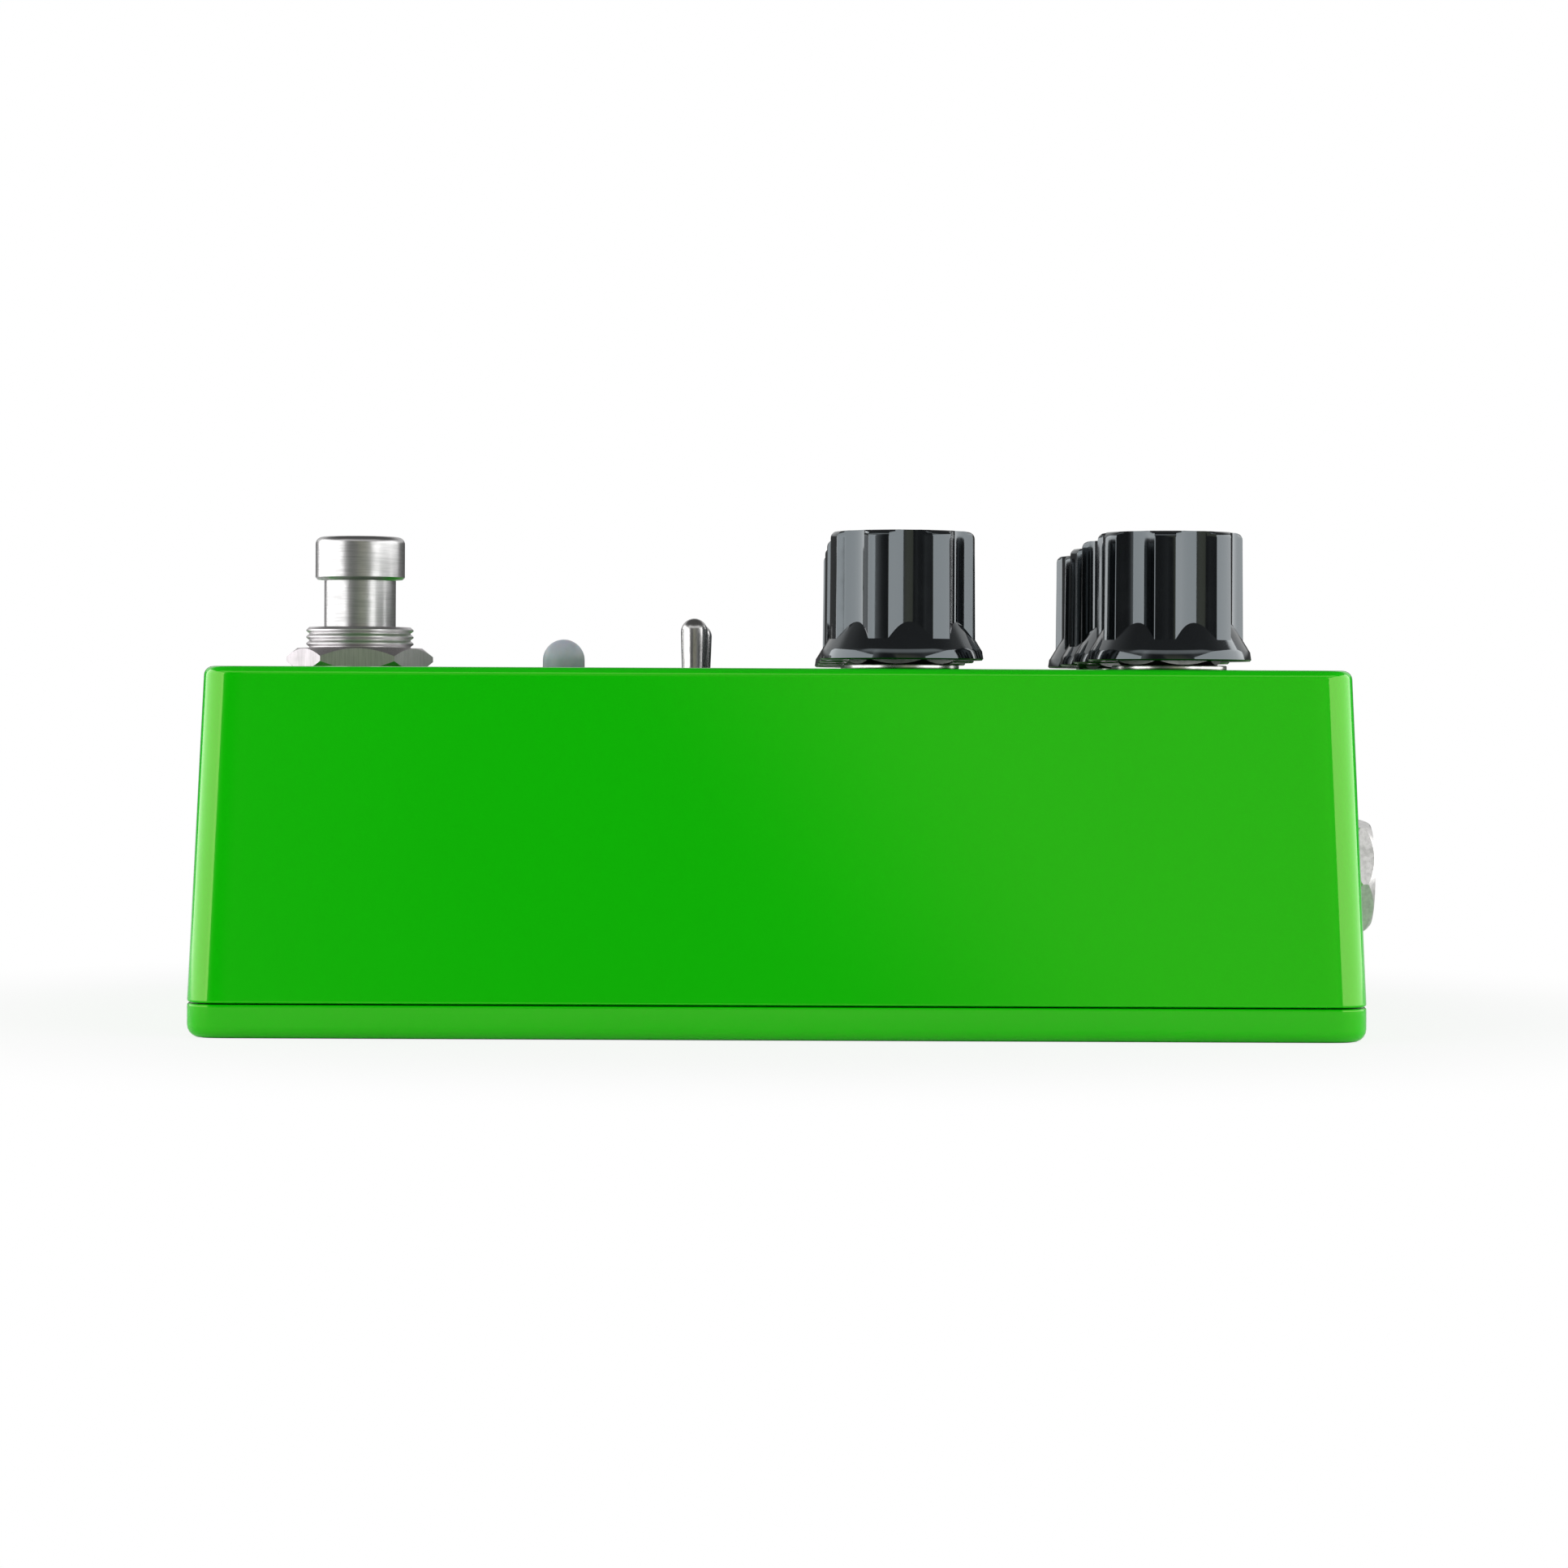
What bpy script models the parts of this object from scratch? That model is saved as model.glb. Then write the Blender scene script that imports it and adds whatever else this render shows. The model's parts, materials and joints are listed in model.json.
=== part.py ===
"""A box-type guitar effects pedal: a die-cast box and lid, a footswitch, an LED, two toggle
switches, eight potentiometers with fluted knobs, two jacks and a power socket.

Frame: metres, +Z up. The origin is the middle of the lid's underside. +Y runs to the rear wall
with the jacks, and +X to the player's right.
"""

import math

import bmesh
import bpy
from mathutils import Matrix

# Box and lid. The box narrows towards its top.
BOX_WIDTH = 0.094
BOX_LENGTH = 0.121
BOX_HEIGHT = 0.038
LID_HEIGHT = 0.0035
WALL = 0.0023
DRAFT = 0.00145
CORNER_RADIUS = 0.005
TOP_EDGE = 0.0009
LID_EDGE = 0.0013
CORNER_STEPS = 5
GAP = 0.0003
# How far cutters run past a face, and how far joined solids run into each other.
OVERRUN = 0.001
SEAM = LID_HEIGHT + 0.00025
LID_POCKET = 0.0013
LID_POCKET_INSET = 0.0095
LID_POCKET_CORNER = 0.003

# Lid screws and the posts that take them.
SCREW_INSET = 0.0053
POST_RADIUS = 0.0032
POST_START = 0.004
SCREW_RADIUS = 0.00175
SCREW_HEAD_RADIUS = 0.00315
SCREW_RECESS = 0.00025
SCREW_LENGTH = 0.010

# Knobs: a skirt, a cone and a fluted grip.
KNOB_COLUMNS = (-0.0339, -0.0113, 0.0113, 0.0339)
KNOB_ROWS = {"front": 0.0129, "rear": 0.0409}
KNOB_LIFT = 0.001
KNOB_HEIGHT = 0.0134
KNOB_RADIUS = 0.0077
KNOB_TAPER = 0.0001
SKIRT_RADIUS = 0.00855
SKIRT_RIM = 0.0011
CONE_SHOULDER = 0.0024
CONE_TOP = 0.0052
CONE_TOP_RADIUS = 0.0056
FLUTES = 7
FLUTE_DEPTH = 0.0012
FLUTE_SHARE = 0.69
KNOB_HOLLOW_RADIUS = 0.0062
KNOB_HOLLOW_DEPTH = 0.0032
KNOB_BORE_RADIUS = 0.00325
KNOB_BORE_DEPTH = 0.0119
KNOB_TURNS = {
    "front": (112.0, 38.0, 76.0, 44.0),
    "rear": (60.0, 95.0, 20.0, 55.9),
}

# Potentiometers, measured from the top of the panel.
POT_RADIUS = 0.00825
POT_DEPTH = 0.008
POT_BUSHING_RADIUS = 0.0035
POT_BUSHING_TOP = 0.0034
POT_BORE_RADIUS = 0.0025
SHAFT_RADIUS = 0.003
SHAFT_NECK_RADIUS = 0.0022
SHAFT_SHOULDER = 0.0038
SHAFT_TOP = 0.0124
SHAFT_FOOT = -0.0093
POT_NUT_FLATS = 0.010
POT_NUT_HEIGHT = 0.002

# Footswitch, measured from the top of the panel.
SWITCH_Y = -0.047
SWITCH_BUSHING_RADIUS = 0.006
SWITCH_BUSHING_TOP = 0.00486
SWITCH_BORE_RADIUS = 0.0043
SWITCH_NUT_FLATS = 0.0142
SWITCH_NUT_TURN = 33.0
SWITCH_NUT_HEIGHT = 0.0022
SWITCH_STEM_RADIUS = 0.004
SWITCH_CAP_RADIUS = 0.005
SWITCH_CAP_START = 0.0102
SWITCH_CAP_TOP = 0.015
SWITCH_CAP_EDGE = 0.0005
SWITCH_STEM_FOOT = -0.008
SWITCH_WASHER_RADIUS = 0.0082
SWITCH_WASHER_THICKNESS = 0.0006
SWITCH_BACK_NUT_HEIGHT = 0.0018
SWITCH_PLATE_RADIUS = 0.0081
SWITCH_PLATE_THICKNESS = 0.0012
SWITCH_CASE_SIDE = 0.0173
SWITCH_CASE_HEIGHT = 0.014
SWITCH_CASE_EDGE = 0.0008
SWITCH_WELL_RADIUS = 0.005
SWITCH_WELL_DEPTH = 0.0087
SWITCH_LUG_PITCH = 0.0052
SWITCH_LUG_LENGTH = 0.0042
SWITCH_LUG_WIDTH = 0.0022
SWITCH_LUG_THICKNESS = 0.0008
SPRING_RADIUS = 0.0032
SPRING_WIRE = 0.00035
SPRING_TURNS = 5
SPRING_STEPS = 10

# Indicator LED.
LED_Y = -0.0241
LED_RADIUS = 0.00235
LED_TOP = 0.0036
LED_FLANGE_RADIUS = 0.0029
LED_FLANGE_HEIGHT = 0.001
LED_LEAD_SIDE = 0.0005
LED_LEAD_SPREAD = 0.00127

# Toggle switches, whose levers both lean to the left at rest.
TOGGLE_X = 0.0146
TOGGLE_Y = -0.0092
TOGGLE_LEAN = -12.0
TOGGLE_PIVOT = -0.0022
TOGGLE_TIP = 0.0059
LEVER_TIP_RADIUS = 0.00148
LEVER_NECK_RADIUS = 0.00115
LEVER_BALL_RADIUS = 0.0019
TOGGLE_BODY = (0.0127, 0.0069, 0.0077)
TOGGLE_BODY_EDGE = 0.0006
TOGGLE_BUSHING_RADIUS = 0.0031
TOGGLE_BUSHING_TOP = -0.0002
TOGGLE_MOUTH_RADIUS = 0.00235

# Circuit board under the potentiometers.
BOARD_WIDTH = 0.084
BOARD_FRONT = -0.031
BOARD_REAR = 0.0515
BOARD_THICKNESS = 0.0016
BOARD_CORNER = 0.0015
CHIP_SIZE = (0.0064, 0.0098, 0.0033)
CHIP_EDGE = 0.0004

# Ribbon from the board to the footswitch lugs.
RIBBON_WIDTH = 0.0114
RIBBON_THICKNESS = 0.0012
RIBBON_BEND = 0.0025
RIBBON_BEND_STEPS = 4
RIBBON_DROP = 0.0025
RIBBON_BOARD_INSET = 0.003
RIBBON_LUG_REACH = 0.0015

# Jacks on the rear wall.
JACK_X = 0.027
JACK_Z = 0.0165
JACK_BORE_RADIUS = 0.00325
JACK_BUSHING_RADIUS = 0.0045
JACK_BODY = (0.0155, 0.0205, 0.0115)
JACK_BODY_EDGE = 0.0006
JACK_BUSHING_END = 0.0625
JACK_NUT_FLATS = 0.011
JACK_NUT_TURN = 7.0
JACK_NUT_START = 0.0605
JACK_NUT_END = 0.0628
JACK_BORE_DEPTH = 0.0265

# Power socket between the jacks.
POWER_BODY_RADIUS = 0.0055
POWER_BODY_DEPTH = 0.011
POWER_FLANGE_RADIUS = 0.0068
POWER_FLANGE_THICKNESS = 0.002
POWER_BORE_RADIUS = 0.00285
POWER_PIN_RADIUS = 0.00105
POWER_PIN_SETBACK = 0.0012
POWER_BACK = 0.0015
POWER_NUT_FLATS = 0.0142
POWER_NUT_THICKNESS = 0.002

UNDERSIDE = -WALL - GAP
POT_FOOT = UNDERSIDE - POT_DEPTH
BOARD_TOP = BOX_HEIGHT + POT_FOOT - GAP

COLOURS = {
    "green_enamel": ((0.0, 0.42, 0.0), 0.15, 0.0),
    "black_plastic": ((0.01, 0.011, 0.013), 0.12, 0.0),
    "bright_metal": ((0.62, 0.63, 0.64), 0.18, 1.0),
    "zinc_metal": ((0.45, 0.46, 0.47), 0.35, 1.0),
    "milky_lens": ((0.45, 0.5, 0.54), 0.25, 0.0),
    "board_laminate": ((0.03, 0.16, 0.07), 0.45, 0.0),
    "blue_plastic": ((0.02, 0.1, 0.36), 0.4, 0.0),
    "dark_plastic": ((0.02, 0.02, 0.022), 0.45, 0.0),
    "grey_ribbon": ((0.3, 0.3, 0.31), 0.6, 0.0),
    "spring_steel": ((0.5, 0.5, 0.5), 0.3, 1.0),
}


def clear_scene():
    for item in list(bpy.data.objects):
        bpy.data.objects.remove(item, do_unlink=True)


def collection(name):
    made = bpy.data.collections.new(name)
    bpy.context.scene.collection.children.link(made)
    return made


def material(name):
    """The named finish, made once."""
    found = bpy.data.materials.get(name)
    if found:
        return found
    colour, roughness, metallic = COLOURS[name]
    made = bpy.data.materials.new(name)
    made.use_nodes = True
    shader = made.node_tree.nodes["Principled BSDF"]
    shader.inputs["Base Color"].default_value = (*colour, 1.0)
    shader.inputs["Roughness"].default_value = roughness
    shader.inputs["Metallic"].default_value = metallic
    return made


def keep(item, name, finish):
    """File a finished object among the pedal's parts."""
    item.name = name
    for home in list(item.users_collection):
        home.objects.unlink(item)
    PEDAL.objects.link(item)
    item.data.materials.clear()
    item.data.materials.append(material(finish))
    return item


def tool(item):
    """File an object among the cutters."""
    for home in list(item.users_collection):
        home.objects.unlink(item)
    CUTTERS.objects.link(item)
    item.hide_render = True
    item.display_type = "WIRE"
    return item


def join(target, other, operation):
    step = target.modifiers.new(operation.lower(), "BOOLEAN")
    step.operation = operation
    step.object = tool(other)
    step.solver = "EXACT"
    return target


def cut(target, other):
    return join(target, other, "DIFFERENCE")


def add(target, other):
    return join(target, other, "UNION")


def object_from(bm, name):
    """A new object from a bmesh, with its normals facing out."""
    bmesh.ops.recalc_face_normals(bm, faces=bm.faces)
    mesh = bpy.data.meshes.new(name)
    bm.to_mesh(mesh)
    bm.free()
    made = bpy.data.objects.new(name, mesh)
    bpy.context.scene.collection.objects.link(made)
    return made


def block(name, low, high, steps=()):
    """A box from a low to a high corner. Each of steps shapes its bmesh further."""
    bm = bmesh.new()
    centre = Matrix.Translation([(a + b) / 2 for a, b in zip(low, high)])
    size = Matrix.Diagonal([b - a for a, b in zip(low, high)] + [1.0])
    bmesh.ops.create_cube(bm, size=1.0, matrix=centre @ size)
    for step in steps:
        step(bm)
    return object_from(bm, name)


def rods(name, ends, segments=20):
    """Separate round bars in one object. Each of ends is (start, end, radius)."""
    bm = bmesh.new()
    for start, end, radius in ends:
        span = [b - a for a, b in zip(start, end)]
        along_y = abs(span[1]) > abs(span[2])
        turn = Matrix.Rotation(math.radians(-90 if along_y else 0), 4, "X")
        middle = Matrix.Translation([(a + b) / 2 for a, b in zip(start, end)])
        depth = math.sqrt(sum(v * v for v in span))
        bmesh.ops.create_cone(
            bm, cap_ends=True, segments=segments, radius1=radius, radius2=radius,
            depth=depth, matrix=middle @ turn,
        )
    return object_from(bm, name)


def turned(name, profile, steps=20):
    """A turned solid. The profile is (radius, height), down the outer side."""
    mesh = bpy.data.meshes.new(name)
    points = [(radius, 0.0, height) for radius, height in profile]
    closed = profile[0][0] > 0
    edges = [(i, i + 1) for i in range(len(points) - 1)]
    if closed:
        edges.append((len(points) - 1, 0))
    mesh.from_pydata(points, edges, [])
    made = bpy.data.objects.new(name, mesh)
    bpy.context.scene.collection.objects.link(made)
    spin = made.modifiers.new("turn", "SCREW")
    spin.steps = steps
    spin.render_steps = steps
    spin.use_merge_vertices = True
    spin.merge_threshold = 0.00001
    return made


def fixed_mesh(item):
    """The object with its modifiers taken into its mesh, and its cutters removed."""
    tools = [step.object for step in item.modifiers if step.type == "BOOLEAN"]
    graph = bpy.context.evaluated_depsgraph_get()
    mesh = bpy.data.meshes.new_from_object(item.evaluated_get(graph))
    item.modifiers.clear()
    item.data = mesh
    for other in tools:
        bpy.data.objects.remove(other, do_unlink=True)
    return item


def hex_nut(name, flats, height, hole_radius, turn=0.0):
    """A hexagon nut standing on z = 0, with a corner at its turn from +X."""
    bm = bmesh.new()
    shift = Matrix.Translation((0, 0, height / 2)) @ Matrix.Rotation(turn, 4, "Z")
    radius = flats / math.sqrt(3)
    bmesh.ops.create_cone(
        bm, cap_ends=True, segments=6, radius1=radius, radius2=radius,
        depth=height, matrix=shift,
    )
    nut = object_from(bm, name)
    hole = rods(name + "_hole", [((0, 0, -height), (0, 0, 2 * height), hole_radius)])
    return fixed_mesh(cut(nut, hole))


def upright_edges(bm):
    return [e for e in bm.edges if abs(e.verts[0].co.z - e.verts[1].co.z) > 1e-6]


def round_edges(bm, edges, radius, segments):
    bmesh.ops.bevel(
        bm, geom=edges, offset=radius, offset_type="OFFSET", segments=segments,
        profile=0.5, affect="EDGES",
    )


def drafted(low, high, inset):
    """Narrow a box's top by inset on each side."""
    def step(bm):
        for vert in bm.verts:
            if vert.co.z > (low + high) / 2:
                vert.co.x -= math.copysign(inset, vert.co.x)
                vert.co.y -= math.copysign(inset, vert.co.y)
    return step


def rounded(corner, rim_height=None, rim=0.0, rim_steps=2):
    """Round a box's upright edges, and its rim at one height."""
    def step(bm):
        round_edges(bm, upright_edges(bm), corner, CORNER_STEPS)
        if rim_height is not None:
            edges = [
                e for e in bm.edges
                if all(abs(v.co.z - rim_height) < 1e-6 for v in e.verts)
            ]
            round_edges(bm, edges, rim, rim_steps)
    return step


def chamfered(edge):
    """Cut a box's upright edges off at an angle."""
    return lambda bm: round_edges(bm, upright_edges(bm), edge, 1)


def centred_box(name, width, length, low, high, steps):
    return block(
        name, (-width / 2, -length / 2, low), (width / 2, length / 2, high), steps
    )


def screw_places():
    x = BOX_WIDTH / 2 - SCREW_INSET
    y = BOX_LENGTH / 2 - SCREW_INSET
    return {
        "front_left": (-x, -y), "front_right": (x, -y),
        "rear_left": (-x, y), "rear_right": (x, y),
    }


def knob_places():
    """Name, x, y and rest angle of each knob, from left to right."""
    for row, y in KNOB_ROWS.items():
        for number, (x, turn) in enumerate(zip(KNOB_COLUMNS, KNOB_TURNS[row]), 1):
            yield f"{row}_{number}", x, y, math.radians(90 + turn)


def enclosure_body():
    """The die-cast box: a drafted shell with screw posts and every panel hole."""
    shell = centred_box(
        "enclosure_body", BOX_WIDTH, BOX_LENGTH, SEAM, BOX_HEIGHT,
        [drafted(SEAM, BOX_HEIGHT, DRAFT), rounded(CORNER_RADIUS, BOX_HEIGHT, TOP_EDGE)],
    )
    floor = SEAM - OVERRUN
    ceiling = BOX_HEIGHT - WALL
    cavity = centred_box(
        "cavity", BOX_WIDTH - 2 * WALL, BOX_LENGTH - 2 * WALL, floor, ceiling,
        [drafted(floor, ceiling, DRAFT), rounded(CORNER_RADIUS - WALL)],
    )
    cut(shell, cavity)
    posts = rods("posts", [
        ((x, y, POST_START), (x, y, BOX_HEIGHT - WALL / 2), POST_RADIUS)
        for x, y in screw_places().values()
    ])
    add(shell, posts)
    above = BOX_HEIGHT + OVERRUN
    below = BOX_HEIGHT - WALL - OVERRUN
    holes = [(x, y, POT_BUSHING_RADIUS + GAP) for _, x, y, _ in knob_places()]
    holes.append((0.0, SWITCH_Y, SWITCH_BUSHING_RADIUS + GAP))
    holes.append((0.0, LED_Y, LED_RADIUS + GAP))
    for side in (-1, 1):
        holes.append((side * TOGGLE_X, TOGGLE_Y, TOGGLE_BUSHING_RADIUS + GAP))
    ends = [((x, y, below), (x, y, above), radius) for x, y, radius in holes]
    for x, y in screw_places().values():
        start = POST_START - OVERRUN
        top = POST_START + SCREW_LENGTH
        ends.append(((x, y, start), (x, y, top), SCREW_RADIUS + GAP))
    cut(shell, rods("panel_holes", ends))
    inner = BOX_LENGTH / 2 - WALL - 2 * DRAFT
    outer = BOX_LENGTH / 2 + OVERRUN
    rear = [(side * JACK_X, JACK_BUSHING_RADIUS + GAP) for side in (-1, 1)]
    rear.append((0.0, POWER_BODY_RADIUS + GAP))
    cut(shell, rods("rear_holes", [
        ((x, inner, JACK_Z), (x, outer, JACK_Z), radius) for x, radius in rear
    ]))
    keep(shell, "enclosure_body", "green_enamel")


def base_lid():
    """The lid: a shallow tray with rounded lower edges and countersunk holes."""
    lid = centred_box(
        "base_lid", BOX_WIDTH, BOX_LENGTH, 0.0, LID_HEIGHT,
        [rounded(CORNER_RADIUS, 0.0, LID_EDGE)],
    )
    inset = 2 * LID_POCKET_INSET
    pocket = centred_box(
        "pocket", BOX_WIDTH - inset, BOX_LENGTH - inset, LID_HEIGHT - LID_POCKET,
        LID_HEIGHT + OVERRUN, [rounded(LID_POCKET_CORNER)],
    )
    cut(lid, pocket)
    hole = SCREW_RADIUS + GAP
    mouth = SCREW_HEAD_RADIUS + SCREW_RECESS + GAP
    for name, (x, y) in screw_places().items():
        sink = turned("sink_" + name, [
            (0.0, LID_HEIGHT + OVERRUN), (hole, LID_HEIGHT + OVERRUN),
            (hole, mouth - hole), (mouth, 0.0), (mouth, -OVERRUN), (0.0, -OVERRUN),
        ])
        sink.location = (x, y, 0.0)
        cut(lid, sink)
    keep(lid, "base_lid", "green_enamel")


def lid_screws():
    """Countersunk screws, heads down in the lid."""
    cone = SCREW_HEAD_RADIUS - SCREW_RADIUS
    profile = [
        (0.0, SCREW_LENGTH), (SCREW_RADIUS, SCREW_LENGTH),
        (SCREW_RADIUS, SCREW_RECESS + cone), (SCREW_HEAD_RADIUS, SCREW_RECESS),
        (0.0, SCREW_RECESS),
    ]
    for name, (x, y) in screw_places().items():
        screw = turned("lid_screw_" + name, profile, steps=16)
        screw.location = (x, y, 0.0)
        keep(screw, "lid_screw_" + name, "zinc_metal")


def flute_outline(radius):
    """Points round the grip: lobes on the radius, and arcs that dip between them."""
    pitch = 2 * math.pi / FLUTES
    half = pitch * FLUTE_SHARE / 2
    chord = radius * math.sin(half)
    dip = FLUTE_DEPTH - radius * (1 - math.cos(half))
    bend = (chord ** 2 + dip ** 2) / (2 * dip)
    centre = radius - FLUTE_DEPTH + bend
    sweep = math.asin(chord / bend)
    points = []
    for flute in range(FLUTES):
        middle = flute * pitch
        for share in (-1.0, -0.5, 0.0, 0.5, 1.0):
            angle = share * sweep
            x = centre - bend * math.cos(angle)
            y = bend * math.sin(angle)
            points.append((
                x * math.cos(middle) - y * math.sin(middle),
                x * math.sin(middle) + y * math.cos(middle),
            ))
        lobe = middle + pitch / 2
        points.append((radius * math.cos(lobe), radius * math.sin(lobe)))
    return points


def knob_mesh():
    """One knob, standing on z = 0: fluted grip, cone and skirt, hollow below."""
    bm = bmesh.new()
    ring = [bm.verts.new((x, y, SKIRT_RIM)) for x, y in flute_outline(KNOB_RADIUS)]
    face = bm.faces.new(ring)
    raised = bmesh.ops.extrude_face_region(bm, geom=[face])
    top = [v for v in raised["geom"] if isinstance(v, bmesh.types.BMVert)]
    share = 1 - KNOB_TAPER / KNOB_RADIUS
    for vert in top:
        vert.co.x *= share
        vert.co.y *= share
        vert.co.z = KNOB_HEIGHT
    grip = object_from(bm, "knob_grip")
    skirt = turned("knob_skirt", [
        (0.0, CONE_TOP), (CONE_TOP_RADIUS, CONE_TOP), (KNOB_RADIUS, CONE_SHOULDER),
        (SKIRT_RADIUS, SKIRT_RIM), (SKIRT_RADIUS, 0.0), (0.0, 0.0),
    ], steps=4 * FLUTES)
    add(grip, skirt)
    hollow = turned("knob_hollow", [
        (0.0, KNOB_BORE_DEPTH), (KNOB_BORE_RADIUS, KNOB_BORE_DEPTH),
        (KNOB_BORE_RADIUS, KNOB_HOLLOW_DEPTH), (KNOB_HOLLOW_RADIUS, KNOB_HOLLOW_DEPTH),
        (KNOB_HOLLOW_RADIUS, -OVERRUN), (0.0, -OVERRUN),
    ])
    cut(grip, hollow)
    return fixed_mesh(grip)


def knobs():
    """Eight knobs. A lobe of each one carries its pointer, at the knob's rest angle."""
    pattern = knob_mesh()
    lobe = math.pi / FLUTES
    for name, x, y, turn in knob_places():
        knob = bpy.data.objects.new("knob_" + name, pattern.data)
        knob.location = (x, y, BOX_HEIGHT + KNOB_LIFT)
        knob.rotation_euler = (0.0, 0.0, turn - lobe)
        bpy.context.scene.collection.objects.link(knob)
        keep(knob, "knob_" + name, "black_plastic")
    bpy.data.objects.remove(pattern, do_unlink=True)


def potentiometers():
    """Eight potentiometers: body with bushing, shaft and panel nut."""
    body = [
        (0.0, SHAFT_FOOT - GAP), (POT_BORE_RADIUS, SHAFT_FOOT - GAP),
        (POT_BORE_RADIUS, POT_BUSHING_TOP), (POT_BUSHING_RADIUS, POT_BUSHING_TOP),
        (POT_BUSHING_RADIUS, UNDERSIDE), (POT_RADIUS, UNDERSIDE),
        (POT_RADIUS, POT_FOOT), (0.0, POT_FOOT),
    ]
    shaft = [
        (0.0, SHAFT_TOP), (SHAFT_RADIUS, SHAFT_TOP), (SHAFT_RADIUS, SHAFT_SHOULDER),
        (SHAFT_NECK_RADIUS, SHAFT_SHOULDER), (SHAFT_NECK_RADIUS, SHAFT_FOOT),
        (0.0, SHAFT_FOOT),
    ]
    for name, x, y, turn in knob_places():
        for part, profile in (("pot_body", body), ("pot_shaft", shaft)):
            made = turned(f"{part}_{name}", profile, steps=16)
            made.location = (x, y, BOX_HEIGHT)
            keep(made, f"{part}_{name}", "zinc_metal")
        hole = POT_BUSHING_RADIUS + GAP
        nut = hex_nut("pot_nut_" + name, POT_NUT_FLATS, POT_NUT_HEIGHT, hole, turn)
        nut.location = (x, y, BOX_HEIGHT + GAP)
        keep(nut, "pot_nut_" + name, "bright_metal")


def tube(name, outer, inner, high, low, finish, steps=24):
    """A plain ring about the footswitch's axis, from a high to a low level."""
    ring = turned(name, [(inner, high), (outer, high), (outer, low), (inner, low)], steps)
    ring.location = (0.0, SWITCH_Y, BOX_HEIGHT)
    keep(ring, name, finish)


def footswitch():
    """The footswitch: bushing, nuts, washer, case with lugs, plunger and spring."""
    washer_top = UNDERSIDE
    washer_foot = washer_top - SWITCH_WASHER_THICKNESS
    back_top = washer_foot - GAP
    back_foot = back_top - SWITCH_BACK_NUT_HEIGHT
    plate_top = back_foot - GAP
    plate_foot = plate_top - SWITCH_PLATE_THICKNESS
    case_top = plate_foot - GAP
    case_foot = case_top - SWITCH_CASE_HEIGHT
    place = (0.0, SWITCH_Y, BOX_HEIGHT)

    bushing = turned("footswitch_bushing", [
        (SWITCH_BORE_RADIUS, SWITCH_BUSHING_TOP), (SWITCH_BUSHING_RADIUS, SWITCH_BUSHING_TOP),
        (SWITCH_BUSHING_RADIUS, plate_top), (SWITCH_PLATE_RADIUS, plate_top),
        (SWITCH_PLATE_RADIUS, plate_foot), (SWITCH_BORE_RADIUS, plate_foot),
    ], steps=24)
    bushing.location = place
    keep(bushing, "footswitch_bushing", "bright_metal")

    hole = SWITCH_BUSHING_RADIUS + GAP
    tube("footswitch_lock_washer", SWITCH_WASHER_RADIUS, hole, washer_top, washer_foot,
         "zinc_metal")
    # A flat of each nut faces nearly towards +X.
    for name, height, start in (
        ("footswitch_nut", SWITCH_NUT_HEIGHT, GAP),
        ("footswitch_back_nut", SWITCH_BACK_NUT_HEIGHT, back_foot),
    ):
        nut = hex_nut(name, SWITCH_NUT_FLATS, height, hole, math.radians(SWITCH_NUT_TURN))
        nut.location = (0.0, SWITCH_Y, BOX_HEIGHT + start)
        keep(nut, name, "bright_metal")

    plunger = turned("footswitch_plunger", [
        (0.0, SWITCH_CAP_TOP), (SWITCH_CAP_RADIUS - SWITCH_CAP_EDGE, SWITCH_CAP_TOP),
        (SWITCH_CAP_RADIUS, SWITCH_CAP_TOP - SWITCH_CAP_EDGE),
        (SWITCH_CAP_RADIUS, SWITCH_CAP_START),
        (SWITCH_STEM_RADIUS, SWITCH_CAP_START), (SWITCH_STEM_RADIUS, SWITCH_STEM_FOOT),
        (0.0, SWITCH_STEM_FOOT),
    ], steps=24)
    plunger.location = place
    keep(plunger, "footswitch_plunger", "bright_metal")

    half = SWITCH_CASE_SIDE / 2
    well_floor = case_top - SWITCH_WELL_DEPTH
    case = block(
        "footswitch_case", (-half, SWITCH_Y - half, BOX_HEIGHT + case_foot),
        (half, SWITCH_Y + half, BOX_HEIGHT + case_top),
        [chamfered(SWITCH_CASE_EDGE)],
    )
    cut(case, rods("switch_well", [(
        (0.0, SWITCH_Y, BOX_HEIGHT + well_floor),
        (0.0, SWITCH_Y, BOX_HEIGHT + case_top + OVERRUN), SWITCH_WELL_RADIUS,
    )]))
    wide, thick = SWITCH_LUG_WIDTH / 2, SWITCH_LUG_THICKNESS / 2
    for row in (-1, 0, 1):
        for column in (-1, 0, 1):
            x = column * SWITCH_LUG_PITCH
            y = SWITCH_Y + row * SWITCH_LUG_PITCH
            lug = block(
                f"lug_{row}_{column}",
                (x - wide, y - thick, BOX_HEIGHT + case_foot - SWITCH_LUG_LENGTH),
                (x + wide, y + thick, BOX_HEIGHT + case_foot + OVERRUN),
            )
            add(case, lug)
    keep(case, "footswitch_case", "blue_plastic")
    spring_coil(BOX_HEIGHT + well_floor + GAP, BOX_HEIGHT + SWITCH_STEM_FOOT - GAP)
    return BOX_HEIGHT + case_foot


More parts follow.
